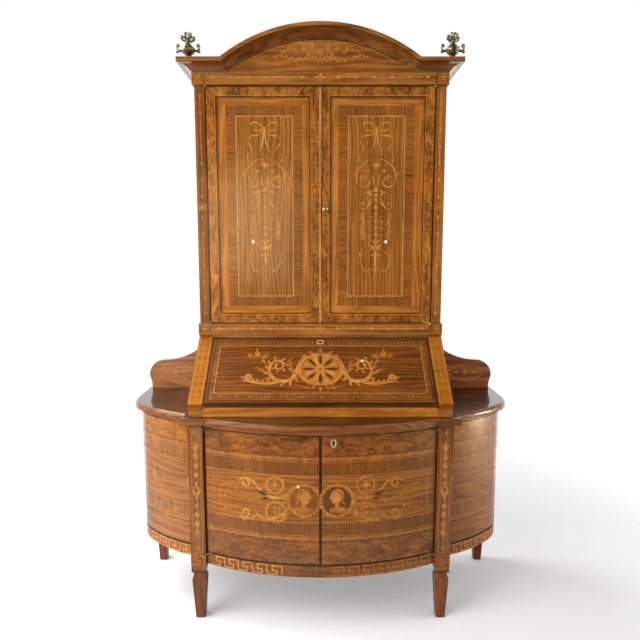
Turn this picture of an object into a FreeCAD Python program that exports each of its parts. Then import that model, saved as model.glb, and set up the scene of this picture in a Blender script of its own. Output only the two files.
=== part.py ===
import FreeCAD, Part
import math
import os

Vector = FreeCAD.Vector

# Driving sizes in millimetres, angles in degrees

# Base cabinet
base_height = 780.0
base_width = 1444.0
base_depth = 535.0
bow_radius = 1002.0
end_bay_width = 244.0
side_straight = 160.0
end_radius = 150.0
end_turn = 45.0
top_overhang = 24.0
top_thick = 24.0
top_ease = 9.0
pilaster_width = 55.0
pilaster_depth = 75.0
pilaster_proud = 10.0
side_setback = 59.0
plinth_bottom = 220.0
plinth_height = 43.0
top_rail_height = 15.0
board_thick = 20.0
back_thick = 12.0
partition_thick = 18.0
shelf_thick = 18.0
base_shelf_height = 480.0
shelf_setback = 40.0

# Legs
block_bottom = 187.0
block_width = 49.0
neck_height = 9.0
neck_width = 39.0
collar_drop = 19.0
collar_width = 51.0
foot_width = 33.0
back_collar_width = 44.0
back_foot_width = 31.0
back_leg_inset = 8.0

# Base doors
door_thick = 20.0
door_gap = 2.0
head_gap = 3.0
curve_gap = 0.4

# Scrolled wings
wing_thick = 20.0
wing_height = 220.0
wing_shoulder_height = 123.0
wing_margin = 10.0
wing_round = 65.0
wing_foot_inset = 9.0
wing_waist_height = 22.0
hollow_lean = 0.24
hollow_drop = 0.631
hollow_level = 0.391

# Bureau
bureau_width = 946.0
bureau_forward = 222.0
bureau_height = 262.0
rail_height = 35.0
slant_angle = 41.0
fall_thick = 20.0
fall_length = 309.0
fall_edge_gap = 0.5
fall_side_gap = 1.0
stile_width = 53.0
bureau_side_thick = 22.0
stop_lap = 14.0
stop_setback = 28.0
nest_setback = 36.0
divider_thick = 10.0
pigeonhole_thick = 6.0
pigeonhole_count = 6
pigeonhole_scoop = 34.0
nest_shelf_thick = 10.0
drawer_count = 3
drawer_height = 64.0
drawer_wall = 8.0
drawer_front = 12.0
drawer_base = 6.0
drawer_clear = 0.6

# Waist and bookcase
waist_height = 47.0
waist_proud = 6.0
waist_thick = 20.0
floor_drop = 7.0
case_width = 936.0
case_depth = 224.0
case_height = 887.0
strip_width = 41.0
case_shelf_heights = (290.0, 580.0)
batten_width = 12.0
batten_height = 14.0
case_shelf_setback = 9.0

# Bookcase doors
case_door_thick = 22.0
frame_stile = 38.0
frame_rail = 38.0
left_meeting_stile = 46.0
right_meeting_stile = 33.0
meeting_shift = 5.0
panel_thick = 11.0
panel_recess = 6.0
panel_groove = 7.0
bead_width = 8.0
bead_reach = 3.0

# Frieze, cornice and pediment
frieze_height = 48.0
frieze_proud = 10.0
frieze_side_proud = 7.0
frieze_thick = 22.0
cornice_height = 38.0
cornice_reach = 45.0
cove_height = 21.0
cove_sag = 6.0
cove_flats = 3
cornice_seat = 20.0
arch_rise = 120.0
arch_radius = 570.0
tympanum_thick = 12.0
tympanum_recess = 6.0

# Finials
finial_side = 481.0
finial_forward = 12.0
spike_width = 6.0
spike_length = 14.0
finial_foot_radius = 11.0
finial_foot_height = 5.0
finial_stem_radius = 5.0
finial_bowl_radius = 22.0
finial_bowl_height = 26.0
finial_rim_radius = 15.0
finial_tip_radius = 4.0
urn_sides = 10
curl_steps = 5
finial_neck_height = 46.0
finial_cap_height = 22.0
finial_height = 97.0
arm_radius = 2.6
arm_centre = 28.0
arm_drop = 8.0
arm_bend = 12.0
arm_start = 200.0
arm_sweep = 270.0
leaf_centre = 15.0
leaf_bend = 11.0
leaf_start = 200.0
leaf_sweep = 230.0
crown_bend = 14.0
crown_start = -100.0
crown_sweep = 290.0

# Pivot hinges
pin_radius = 2.2
pin_clear = 0.05
eye_radius = 4.5
pin_forward = 5.0
leaf_thick = 2.5
leaf_width = 9.0
leaf_length = 42.0
eye_sides = 12
fall_eye_radius = 4.0
eye_clear = 0.8

# Locks, knobs and keyholes
plate_thick = 1.6
plate_sink = 0.8
plate_sides = 12
plate_width = 20.0
plate_height = 30.0
side_plate_width = 11.0
side_plate_height = 24.0
fall_plate_width = 28.0
fall_plate_height = 21.0
key_radius = 2.6
key_sides = 8
key_slot = 2.6
key_drop = 7.0
key_depth = 9.0
lock_width = 40.0
lock_height = 52.0
lock_thick = 9.0
lock_proud = 2.0
lock_margin = 4.0
key_side = 45.0
key_below_top = 24.0
side_key_height = 520.0
side_key_inset = 14.0
fall_key_inset = 24.0
knob_height = 437.0
knob_inset = 13.0
knob_plate_radius = 10.0
knob_plate_thick = 2.0
knob_neck_radius = 4.0
knob_reach = 22.0
knob_radius = 9.0
knob_sides = 12
knob_round = 3.0
drawer_knob_radius = 6.5
drawer_knob_reach = 14.0
drawer_knob_neck = 3.0

# Positions that follow from the sizes
half_depth = (base_depth + top_overhang) / 2
half_width = base_width / 2
bow_half_width = half_width - end_bay_width - pilaster_width
top_under = base_height - top_thick
plinth_top = plinth_bottom + plinth_height
rail_under = top_under - top_rail_height
base_door_bottom = plinth_top + head_gap
base_door_top = rail_under - head_gap
pilaster_outer = bow_half_width + pilaster_width
pilaster_mid = bow_half_width + pilaster_width / 2
pilaster_front = (base_depth - bow_radius + math.sqrt(bow_radius ** 2 - bow_half_width ** 2)
                  + pilaster_proud)
pilaster_back = pilaster_front - pilaster_depth
partition_inner = pilaster_mid - partition_thick / 2
partition_outer = pilaster_mid + partition_thick / 2
side_inner = half_width - board_thick

bureau_depth = case_depth + bureau_forward
stop_depth = case_depth - stop_setback
nest_depth = case_depth - nest_setback
writing_height = base_height + rail_height
waist_bottom = base_height + bureau_height
waist_top = waist_bottom + waist_height
floor_top = waist_top - floor_drop
floor_under = floor_top - board_thick
bureau_half = bureau_width / 2
stile_inner = bureau_half - stile_width
fall_half = stile_inner - fall_side_gap
bureau_side_inner = bureau_half - bureau_side_thick
slant = math.radians(slant_angle)

case_half = case_width / 2
waist_half = case_half + waist_proud
waist_depth = case_depth + waist_proud
case_top = waist_top + case_height
strip_inner = case_half - strip_width
case_inner = case_half - board_thick
frieze_half = case_half + frieze_side_proud
frieze_depth = case_depth + frieze_proud
frieze_top = case_top + frieze_height
cornice_top = frieze_top + cornice_height
case_door_bottom = waist_top + head_gap
case_door_top = case_top - head_gap

arch_outer = arch_radius + cornice_height
arch_centre = cornice_top + arch_rise - arch_outer
spring_low = math.sqrt(arch_radius ** 2 - (frieze_top - arch_centre) ** 2)
spring_high = math.sqrt(arch_outer ** 2 - (cornice_top - arch_centre) ** 2)

# The sweep of each side: an end arc that turns into a wider arc, met by the pilaster
turn = math.radians(end_turn)
end_centre = (half_width - end_radius, side_straight)
meet = (pilaster_outer - end_centre[0], pilaster_front - side_setback - end_centre[1])
along = meet[0] * math.cos(turn) + meet[1] * math.sin(turn)
widen = (meet[0] ** 2 + meet[1] ** 2 - end_radius ** 2) / (2 * (end_radius - along))
sweep_radius = end_radius + widen
sweep_centre = (end_centre[0] - widen * math.cos(turn), end_centre[1] - widen * math.sin(turn))


def at(x, depth, z):
    """A point from its place across, its distance in front of the back and its height."""
    return Vector(x, half_depth - depth, z)


def box(x0, x1, depth0, depth1, z0, z1):
    """A square-edged board between two places across, two depths and two heights."""
    return Part.makeBox(x1 - x0, depth1 - depth0, z1 - z0, at(x0, depth1, z0))


def mirrored(shape):
    """The same piece on the other side."""
    return shape.mirror(Vector(0, 0, 0), Vector(1, 0, 0))


def line(start, end):
    return Part.LineSegment(start, end).toShape()


def arc(centre, radius, start, end, z):
    """An arc in plan, its angles turning from the right towards the front."""
    points = []
    for angle in (start, (start + end) / 2, end):
        points.append(at(centre[0] + radius * math.cos(angle),
                         centre[1] + radius * math.sin(angle), z))
    return Part.Arc(points[0], points[1], points[2]).toShape()


def slab(edges, height):
    """A board from the closed plan outline of its lower face."""
    wire = Part.Wire(Part.__sortEdges__(edges))
    return Part.Face(wire).extrude(Vector(0, 0, height))


def section(points, x0, x1):
    """A bar along the width from its outline of depths and heights."""
    outline = [at(x0, depth, z) for depth, z in points]
    outline.append(outline[0])
    return Part.Face(Part.makePolygon(outline)).extrude(Vector(x1 - x0, 0, 0))


def bow_depth(x, offset=0):
    return base_depth - bow_radius + math.sqrt((bow_radius + offset) ** 2 - x ** 2)


def bow_arc(offset, x0, x1, z):
    """Part of the bowed front, moved out by the offset."""
    radius = bow_radius + offset
    return arc((0, base_depth - bow_radius), radius,
               math.acos(x0 / radius), math.acos(x1 / radius), z)


def bow_strip(outer, inner, x0, x1, z0, z1):
    """A board that follows the bow between two offsets."""
    front = bow_arc(outer, x0, x1, z0)
    back = bow_arc(inner, x0, x1, z0)
    edges = [front, back]
    edges.append(line(at(x0, bow_depth(x0, outer), z0), at(x0, bow_depth(x0, inner), z0)))
    edges.append(line(at(x1, bow_depth(x1, outer), z0), at(x1, bow_depth(x1, inner), z0)))
    return slab(edges, z1 - z0)


def sweep_depth(x, offset=0):
    radius = sweep_radius + offset
    return sweep_centre[1] + math.sqrt(radius ** 2 - (x - sweep_centre[0]) ** 2)


def side_path(offset, x_end, z, start=None):
    """The line of a side in plan, from its straight part to a place near the pilaster."""
    edges = []
    if start is not None:
        edges.append(line(at(half_width + offset, start, z),
                          at(half_width + offset, side_straight, z)))
    edges.append(arc(end_centre, end_radius + offset, 0, turn, z))
    last = math.acos((x_end - sweep_centre[0]) / (sweep_radius + offset))
    edges.append(arc(sweep_centre, sweep_radius + offset, turn, last, z))
    return edges


def side_strip(outer, inner, x_end, z0, z1, start=None):
    """A board that follows a side between two offsets."""
    first = side_straight if start is None else start
    edges = side_path(outer, x_end, z0, start) + side_path(inner, x_end, z0, start)
    edges.append(line(at(x_end, sweep_depth(x_end, outer), z0),
                      at(x_end, sweep_depth(x_end, inner), z0)))
    edges.append(line(at(half_width + outer, first, z0), at(half_width + inner, first, z0)))
    return slab(edges, z1 - z0)


def slope(along_fall, inward):
    """Depth and height of a point up the fall and inward from its outer face."""
    outward = fall_thick - inward
    return (bureau_depth - along_fall * math.cos(slant) + outward * math.sin(slant),
            writing_height + along_fall * math.sin(slant) + outward * math.cos(slant))


parts = {}

# Base: top board with an eased edge that breaks forward over the pilasters


def top_outline(offset, z):
    corner = pilaster_outer + offset
    front = pilaster_front + offset
    reach = bow_radius + offset
    bow_end = math.sqrt(reach ** 2 - (front - base_depth + bow_radius) ** 2)
    right = side_path(offset, corner, z, 0)
    right.append(line(at(corner, sweep_depth(corner, offset), z), at(corner, front, z)))
    right.append(line(at(corner, front, z), at(bow_end, front, z)))
    edges = right + [mirrored(edge) for edge in right]
    edges.append(bow_arc(offset, -bow_end, bow_end, z))
    edges.append(line(at(-half_width - offset, 0, z), at(half_width + offset, 0, z)))
    return Part.Wire(Part.__sortEdges__(edges))


top_shape = Part.Face(top_outline(top_overhang, top_under)).extrude(Vector(0, 0, top_thick))
top_edges = []
for edge in top_shape.Edges:
    box_edge = edge.BoundBox
    upper = box_edge.ZMin > base_height - curve_gap
    behind = box_edge.YMin > half_depth - curve_gap
    if upper and not behind:
        top_edges.append(edge)
parts["base_top"] = top_shape.makeChamfer(top_ease, top_edges)

# Base: pilasters that run down into square tapered legs


def taper(x, depth, low_width, high_width, z0, z1):
    """A square block whose sides lean in or out from its foot to its head."""
    low = low_width / 2
    high = high_width / 2
    block = Part.makeWedge(-low, z0, -low, -high, -high, low, z1, low, high, high)
    block.rotate(Vector(0, 0, 0), Vector(1, 0, 0), 90)
    block.translate(at(x, depth, 0))
    return block


def leg(x, depth, block, collar, foot, z_block):
    """A leg from its block down: a neck, a spreading collar and a tapered foot."""
    neck = neck_width * block / block_width
    collar_top = block_bottom - neck_height
    shape = box(x - block / 2, x + block / 2, depth - block / 2, depth + block / 2,
                block_bottom, z_block)
    shape = shape.fuse(box(x - neck / 2, x + neck / 2, depth - neck / 2, depth + neck / 2,
                           collar_top, block_bottom))
    collar_z = collar_top - collar_drop
    shape = shape.fuse(taper(x, depth, collar, neck, collar_z, collar_top))
    return shape.fuse(taper(x, depth, foot, collar, 0, collar_z)).removeSplitter()


front_leg_depth = pilaster_front - pilaster_width / 2
right_leg = leg(pilaster_mid, front_leg_depth, block_width, collar_width, foot_width, plinth_bottom)
right_leg = right_leg.fuse(box(bow_half_width, pilaster_outer, pilaster_back, pilaster_front,
                               plinth_bottom, top_under)).removeSplitter()
parts["right_pilaster"] = right_leg
parts["left_pilaster"] = mirrored(right_leg)

back_leg_side = half_width - back_collar_width / 2
back_leg = leg(back_leg_side, back_leg_inset + back_collar_width / 2, back_collar_width,
               back_collar_width, back_foot_width, plinth_bottom)
parts["back_legs"] = Part.Compound([back_leg, mirrored(back_leg)])

# Base: plinth bands and top rails
plinth_centre = bow_strip(0, -board_thick, -bow_half_width, bow_half_width, plinth_bottom, plinth_top)
plinth_right = side_strip(0, -board_thick, pilaster_outer, plinth_bottom, plinth_top, 0)
rail_centre = bow_strip(0, -board_thick, -bow_half_width, bow_half_width, rail_under, top_under)
rail_right = side_strip(0, -board_thick, pilaster_outer, rail_under, top_under, 0)

# Base: bottom board, notched around the pilasters
floor_offset = -board_thick - curve_gap
bottom_under = plinth_top - board_thick
bottom_right = side_path(floor_offset, pilaster_outer, bottom_under, back_thick)
bottom_steps = [(pilaster_outer, sweep_depth(pilaster_outer, floor_offset)),
                (pilaster_outer, pilaster_back), (bow_half_width, pilaster_back),
                (bow_half_width, bow_depth(bow_half_width, floor_offset))]
for start, end in zip(bottom_steps, bottom_steps[1:]):
    bottom_right.append(line(at(start[0], start[1], bottom_under), at(end[0], end[1], bottom_under)))
bottom_edges = bottom_right + [mirrored(edge) for edge in bottom_right]
bottom_edges.append(bow_arc(floor_offset, -bow_half_width, bow_half_width, bottom_under))
bottom_edges.append(line(at(-half_width - floor_offset, back_thick, bottom_under),
                         at(half_width + floor_offset, back_thick, bottom_under)))
parts["base_bottom"] = slab(bottom_edges, board_thick)

# Base: back, partitions, side panels and shelves
parts["base_back"] = box(-side_inner, side_inner, 0, back_thick, plinth_bottom, top_under)
partition = box(partition_inner, partition_outer, back_thick, pilaster_back, plinth_top, top_under)
parts["base_partitions"] = Part.Compound([partition, mirrored(partition)])
side_panel = box(side_inner, half_width, 0, side_straight - door_gap, plinth_top, rail_under)
parts["base_side_panels"] = Part.Compound([side_panel, mirrored(side_panel)])

shelf_offset = -door_thick - shelf_setback
parts["centre_shelf"] = box(-partition_inner, partition_inner, back_thick, pilaster_back,
                            base_shelf_height, base_shelf_height + shelf_thick)
shelf_edges = side_path(shelf_offset, partition_outer, base_shelf_height)
shelf_steps = [(partition_outer, sweep_depth(partition_outer, shelf_offset)),
               (partition_outer, back_thick), (side_inner, back_thick),
               (side_inner, side_straight - shelf_setback), (half_width + shelf_offset, side_straight)]
for start, end in zip(shelf_steps, shelf_steps[1:]):
    shelf_edges.append(line(at(start[0], start[1], base_shelf_height),
                            at(end[0], end[1], base_shelf_height)))
side_shelf = slab(shelf_edges, shelf_thick)
parts["side_shelves"] = Part.Compound([side_shelf, mirrored(side_shelf)])

# Base: scrolled wings on the top, one on each side of the bureau
wing_outer = half_width + top_overhang - wing_margin
wing_round_x = wing_outer - wing_round
wing_round_z = base_height + wing_shoulder_height - wing_round
wing_foot = wing_outer - wing_foot_inset
wing_waist = base_height + wing_waist_height
wing_top = base_height + wing_height
wing_sag = wing_height - wing_shoulder_height


def wing_point(x, z):
    return at(x, 0, z)


# The hollow of the wing falls from the bureau and is level where it meets the rounded shoulder
hollow_run = wing_round_x - bureau_half
hollow = Part.BezierCurve()
hollow.setPoles([wing_point(bureau_half, wing_top),
                 wing_point(bureau_half + hollow_run * hollow_lean, wing_top - wing_sag * hollow_drop),
                 wing_point(wing_round_x - hollow_run * hollow_level, base_height + wing_shoulder_height),
                 wing_point(wing_round_x, base_height + wing_shoulder_height)])
neck_bend = math.sqrt(0.5)
wing_edges = [
    line(wing_point(bureau_half, base_height), wing_point(bureau_half, wing_top)),
    hollow.toShape(),
    Part.Arc(wing_point(wing_round_x, base_height + wing_shoulder_height),
             wing_point(wing_round_x + wing_round * neck_bend, wing_round_z + wing_round * neck_bend),
             wing_point(wing_outer, wing_round_z)).toShape(),
    line(wing_point(wing_outer, wing_round_z), wing_point(wing_foot, wing_waist)),
    line(wing_point(wing_foot, wing_waist), wing_point(wing_foot, base_height)),
    line(wing_point(wing_foot, base_height), wing_point(bureau_half, base_height))]
right_wing = Part.Face(Part.Wire(Part.__sortEdges__(wing_edges))).extrude(Vector(0, -wing_thick, 0))
parts["scrolled_wings"] = Part.Compound([right_wing, mirrored(right_wing)])

# Bureau: sides, slanted stiles, blocks, rails, writing board and back
side_front = bureau_depth - board_thick
side_rise = writing_height + (bureau_depth - side_front) * math.tan(slant)
side_crest = bureau_depth - (waist_bottom - writing_height) / math.tan(slant)
side_outline = [(0, base_height), (side_front, base_height), (side_front, side_rise),
                (side_crest, waist_bottom), (0, waist_bottom)]
bureau_side = section(side_outline, bureau_side_inner, bureau_half)
parts["bureau_sides"] = Part.Compound([bureau_side, mirrored(bureau_side)])

stile_crest = slope(0, 0)[0] - (waist_bottom - slope(0, 0)[1]) / math.tan(slant)
stile_outline = [slope(0, fall_thick), slope(0, 0), (stile_crest, waist_bottom),
                 (side_crest, waist_bottom)]
right_stile = section(stile_outline, stile_inner, bureau_half)
right_block = box(stile_inner, bureau_half, side_front, bureau_depth, base_height, writing_height)

front_rail = box(-stile_inner, stile_inner, side_front, bureau_depth, base_height, writing_height)
parts["writing_board"] = box(-bureau_side_inner, bureau_side_inner, back_thick, side_front,
                             writing_height - board_thick, writing_height)
parts["bureau_back"] = box(-bureau_side_inner, bureau_side_inner, 0, back_thick,
                           base_height, floor_under)

# The rail above the fall has a rebate that the closed fall lies in
stop_face = fall_thick + fall_edge_gap
stop_low = slope(fall_length - stop_lap, stop_face)
stop_high = slope(fall_length + fall_edge_gap, stop_face)
stop_lip = slope(fall_length + fall_edge_gap, 0)
stop_outline = [(stop_depth, waist_bottom), (stop_depth, stop_low[1]), stop_low, stop_high,
                stop_lip, (stop_lip[0], waist_bottom)]
parts["fall_stop_rail"] = section(stop_outline, -stile_inner, stile_inner)

# Bureau: the nest of drawers and pigeonholes
nest_shelf_under = writing_height + drawer_height + 2 * drawer_clear
nest_shelf_top = nest_shelf_under + nest_shelf_thick
nest_width = 2 * bureau_side_inner
drawer_space = (nest_width - (drawer_count - 1) * divider_thick) / drawer_count
dividers = []
for index in range(1, drawer_count):
    divider_x = -bureau_side_inner + index * (drawer_space + divider_thick) - divider_thick
    dividers.append(box(divider_x, divider_x + divider_thick, back_thick, nest_depth,
                        writing_height, nest_shelf_under))
parts["drawer_dividers"] = Part.Compound(dividers)
parts["nest_shelf"] = box(-bureau_side_inner, bureau_side_inner, back_thick, nest_depth,
                          nest_shelf_under, nest_shelf_top)
pigeonholes = []
pigeonhole_mid = (nest_shelf_top + floor_under) / 2
pigeonhole_half = (floor_under - nest_shelf_top) / 2
scoop_radius = (pigeonhole_half ** 2 + pigeonhole_scoop ** 2) / (2 * pigeonhole_scoop)
for index in range(1, pigeonhole_count):
    pigeonhole_x = -bureau_side_inner + index * nest_width / pigeonhole_count - pigeonhole_thick / 2
    wall = box(pigeonhole_x, pigeonhole_x + pigeonhole_thick, back_thick, nest_depth,
               nest_shelf_top, floor_under)
    scoop = Part.makeCylinder(scoop_radius, pigeonhole_thick,
                              at(pigeonhole_x, nest_depth - pigeonhole_scoop + scoop_radius, pigeonhole_mid),
                              Vector(1, 0, 0))
    pigeonholes.append(wall.cut(scoop))
parts["pigeonhole_walls"] = Part.Compound(pigeonholes)

# Waist and bookcase
waist_back = waist_depth - waist_thick
waist_front = box(-waist_half, waist_half, waist_back, waist_depth, waist_bottom, waist_top)
waist_return = box(waist_half - waist_thick, waist_half, 0, waist_back, waist_bottom, waist_top)
parts["bookcase_floor"] = box(-waist_half + waist_thick, waist_half - waist_thick, 0, waist_back,
                              floor_under, floor_top)

side_depth = case_depth - board_thick
case_side = box(case_inner, case_half, 0, side_depth, waist_top, case_top)
right_strip = box(strip_inner, case_half, side_depth, case_depth, waist_top, case_top)
parts["bookcase_strips"] = Part.Compound([right_strip, mirrored(right_strip)])
roof_under = frieze_top - board_thick
parts["bookcase_back"] = box(-case_inner, case_inner, 0, back_thick, floor_top, roof_under)

shelf_front = case_depth - case_door_thick - case_shelf_setback
shelves = []
battens = []
for height in case_shelf_heights:
    shelf_under = waist_top + height
    shelves.append(box(-case_inner, case_inner, back_thick, shelf_front, shelf_under,
                       shelf_under + shelf_thick))
    batten = box(case_inner - batten_width, case_inner, back_thick, shelf_front - batten_width,
                 shelf_under - batten_height, shelf_under)
    battens += [batten, mirrored(batten)]
parts["bookcase_shelves"] = Part.Compound(shelves)
parts["shelf_battens"] = Part.Compound(battens)
parts["bookcase_sides"] = Part.Compound([case_side, mirrored(case_side)])

# Frieze, roof, cornice, arch and tympanum
frieze_back = frieze_depth - frieze_thick
frieze_front = box(-frieze_half, frieze_half, frieze_back, frieze_depth, case_top, frieze_top)
frieze_return = box(frieze_half - frieze_thick, frieze_half, 0, frieze_back, case_top, frieze_top)
parts["bookcase_roof"] = box(-frieze_half + frieze_thick, frieze_half - frieze_thick, 0, frieze_back,
                             roof_under, frieze_top)


def moulding(place):
    """The face of the cornice section, its hollow a parabola in flats, set out by a placing function."""
    lean = math.hypot(cornice_reach, cove_height)
    corners = []
    for index in range(cove_flats + 1):
        share = index / cove_flats
        sag = 4 * cove_sag * share * (1 - share)
        corners.append(place(cornice_reach * share - sag * cove_height / lean,
                             cove_height * share + sag * cornice_reach / lean))
    corners += [place(cornice_reach, cornice_height), place(-cornice_seat, cornice_height),
                place(-cornice_seat, 0), corners[0]]
    return Part.Face(Part.makePolygon(corners))


cornice_half = frieze_half + cornice_reach
cornice_front = frieze_depth + cornice_reach
front_length = moulding(lambda out, up: at(0, frieze_depth + out, frieze_top + up))
front_length = front_length.extrude(Vector(cornice_half, 0, 0))
side_length = moulding(lambda out, up: at(frieze_half + out, 0, frieze_top + up))
side_length = side_length.extrude(Vector(0, -cornice_front, 0))
# The corner mitre runs at 45 degrees through the corner of the frieze
mitre_reach = 2 * cornice_half
mitre = [at(frieze_half - mitre_reach, frieze_depth - mitre_reach, frieze_top),
         at(frieze_half + mitre_reach, frieze_depth + mitre_reach, frieze_top),
         at(frieze_half + mitre_reach, frieze_depth - mitre_reach, frieze_top)]
mitre.append(mitre[0])
side_wedge = Part.Face(Part.makePolygon(mitre)).extrude(Vector(0, 0, cornice_height))
front_length = front_length.cut(side_wedge)
side_length = side_length.common(side_wedge)

# The arch meets the level cornice on a mitre from the inner to the outer spring
mitre_slope = (spring_high - spring_low) / cornice_height
mitre_rise = cornice_height + arch_rise
arch_space = [at(-spring_low, cornice_front, frieze_top), at(spring_low, cornice_front, frieze_top),
              at(spring_low + mitre_slope * mitre_rise, cornice_front, frieze_top + mitre_rise),
              at(-spring_low - mitre_slope * mitre_rise, cornice_front, frieze_top + mitre_rise)]
arch_space.append(arch_space[0])
arch_wedge = Part.Face(Part.makePolygon(arch_space)).extrude(Vector(0, cornice_front, 0))
front_length = front_length.cut(arch_wedge)
right_cornice = front_length.fuse(side_length).removeSplitter()

arch_axis = at(0, 0, arch_centre)
arch_turn = 2 * math.degrees(math.asin(spring_high / arch_radius))
arch_face = moulding(lambda out, up: at(0, frieze_depth + out, arch_centre + arch_radius + up))
arch_face.rotate(arch_axis, Vector(0, 1, 0), -arch_turn / 2)
arch_ring = arch_face.revolve(arch_axis, Vector(0, 1, 0), arch_turn)
parts["arch_moulding"] = arch_ring.common(arch_wedge)

tympanum_front = frieze_depth - tympanum_recess
tympanum_low = [at(-spring_low, tympanum_front, frieze_top), at(spring_low, tympanum_front, frieze_top)]
tympanum_edges = [line(tympanum_low[0], tympanum_low[1]),
                  Part.Arc(tympanum_low[0], at(0, tympanum_front, arch_centre + arch_radius),
                           tympanum_low[1]).toShape()]
tympanum = Part.Face(Part.Wire(Part.__sortEdges__(tympanum_edges)))
parts["tympanum"] = tympanum.extrude(Vector(0, tympanum_thick, 0))

# Finials: an urn on a spike, with curling arms and leaves
finial_depth = frieze_depth + finial_forward


def finial_point(out, up):
    return at(finial_side + out, finial_depth, cornice_top + up)


def curl(centre, radius, start, sweep):
    """A curling arm of square section, in short straight lengths about a centre beside the urn."""
    rings = []
    for index in range(curl_steps + 1):
        angle = math.radians(start + sweep * index / curl_steps)
        ring = []
        for out, back in ((-1, 0), (0, 1), (1, 0), (0, -1)):
            reach = radius + out * arm_radius
            ring.append(finial_point(centre[0] + reach * math.cos(angle), centre[1] + reach * math.sin(angle))
                        + Vector(0, back * arm_radius, 0))
        rings.append(ring)
    return faceted(rings)


def faceted(rings):
    """A closed solid of flat triangles through rings of points, capped at both ends."""
    faces = []
    for low, high in zip(rings, rings[1:]):
        for index in range(len(low)):
            after = (index + 1) % len(low)
            for corners in ((low[index], low[after], high[after]), (low[index], high[after], high[index])):
                faces.append(Part.Face(Part.makePolygon(list(corners) + [corners[0]])))
    for ring in (rings[0], rings[-1]):
        faces.append(Part.Face(Part.makePolygon(ring + [ring[0]])))
    solid = Part.Solid(Part.Shell(faces))
    if solid.Volume < 0:
        solid.reverse()
    return solid


urn_outline = [(finial_foot_radius, 0), (finial_foot_radius, finial_foot_height),
               (finial_stem_radius, 2 * finial_foot_height),
               (finial_bowl_radius, finial_bowl_height),
               (finial_rim_radius, finial_neck_height),
               (finial_tip_radius, finial_neck_height + finial_cap_height)]
urn_rings = []
for out, up in urn_outline:
    turns = [2 * math.pi * index / urn_sides for index in range(urn_sides)]
    urn_rings.append([finial_point(out * math.cos(angle), up) + Vector(0, out * math.sin(angle), 0)
                      for angle in turns])
finial = faceted(urn_rings)
spike_half = spike_width / 2
spike = box(finial_side - spike_half, finial_side + spike_half, finial_depth - spike_half,
            finial_depth + spike_half, cornice_top - spike_length, cornice_top + finial_foot_height)
finial = finial.fuse(spike)
for side in (-1, 1):
    finial = finial.fuse(curl((side * arm_centre, finial_neck_height - arm_drop), arm_bend,
                              90 + side * (arm_start - 90), side * arm_sweep))
    finial = finial.fuse(curl((side * leaf_centre, finial_neck_height + leaf_bend), leaf_bend,
                              90 + side * (leaf_start - 90), side * leaf_sweep))
finial = finial.fuse(curl((0, finial_height - crown_bend - arm_radius), crown_bend, crown_start,
                          crown_sweep))
finial = finial.removeSplitter()
parts["finials"] = Part.Compound([finial, mirrored(finial)])
right_cornice = right_cornice.cut(spike)
parts["right_cornice"] = right_cornice
parts["left_cornice"] = mirrored(right_cornice)

# Pivot hinges: each leaf has an eye on the axis, the fixed leaf carries the pin


def oval(width, height, sides, start, length):
    """An oval block of many flat sides, standing on the plane of a face."""
    points = []
    for index in range(sides + 1):
        angle = 2 * math.pi * index / sides
        points.append(Vector(width / 2 * math.cos(angle), height / 2 * math.sin(angle), start))
    return Part.Face(Part.makePolygon(points)).extrude(Vector(0, 0, length))


def leaf(axis, target, z, beyond):
    """A flat leaf let into an edge, from a little beyond the axis to its far end."""
    start = at(axis[0], axis[1], z)
    run = at(target[0], target[1], z) - start
    bar = Part.makeBox(run.Length + beyond, leaf_width, leaf_thick, Vector(-beyond, -leaf_width / 2, 0))
    bar.rotate(Vector(0, 0, 0), Vector(0, 0, 1), math.degrees(math.atan2(run.y, run.x)))
    bar.translate(start)
    return bar


def pivot_pair(axis, target, low, high):
    """Moving leaves and fixed leaves with pins at the foot and head of a door."""
    moving = []
    fixed = []
    pin_length = head_gap + 2 * leaf_thick
    foot_fixed = low - head_gap - leaf_thick
    for door_z, case_z, pin_z in ((low, foot_fixed, foot_fixed),
                                  (high - leaf_thick, high + head_gap, high - leaf_thick)):
        eye = oval(2 * eye_radius, 2 * eye_radius, eye_sides, 0, leaf_thick)
        eye.translate(at(axis[0], axis[1], door_z))
        bore = Part.makeCylinder(pin_radius + pin_clear, leaf_thick, at(axis[0], axis[1], door_z))
        moving.append(leaf(axis, target, door_z, 0).fuse(eye).cut(bore).removeSplitter())
        pin = Part.makeCylinder(pin_radius, pin_length, at(axis[0], axis[1], pin_z))
        fixed.append(leaf(axis, target, case_z, eye_radius).fuse(pin).removeSplitter())
    return moving, fixed


def let_in(shape, fittings):
    """A piece with the seats of its fittings cut out."""
    for fitting in fittings:
        shape = shape.cut(fitting)
    return shape


fixed_leaves = []

# Lock plates with a keyhole, and the lock cases behind them


def lock_set(origin, across, upward, outward, width, height, wall):
    """A keyhole plate on an outer face, its lock case in the inner face, and the key's passage."""
    frame = FreeCAD.Matrix(across.x, upward.x, outward.x, origin.x,
                           across.y, upward.y, outward.y, origin.y,
                           across.z, upward.z, outward.z, origin.z, 0, 0, 0, 1)
    plate = oval(width, height, plate_sides, -plate_sink, plate_thick)
    case = Part.makeBox(lock_width, lock_height, lock_thick,
                        Vector(-lock_width / 2, -lock_height / 2, -wall - lock_proud))
    key = oval(2 * key_radius, 2 * key_radius, key_sides, -key_depth, key_depth + plate_thick)
    key = key.fuse(Part.makeBox(key_slot, key_drop, key_depth + plate_thick,
                                Vector(-key_slot / 2, -key_drop, -key_depth)))
    return [piece.transformed(frame) for piece in (plate.cut(key), case, key)]


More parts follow.
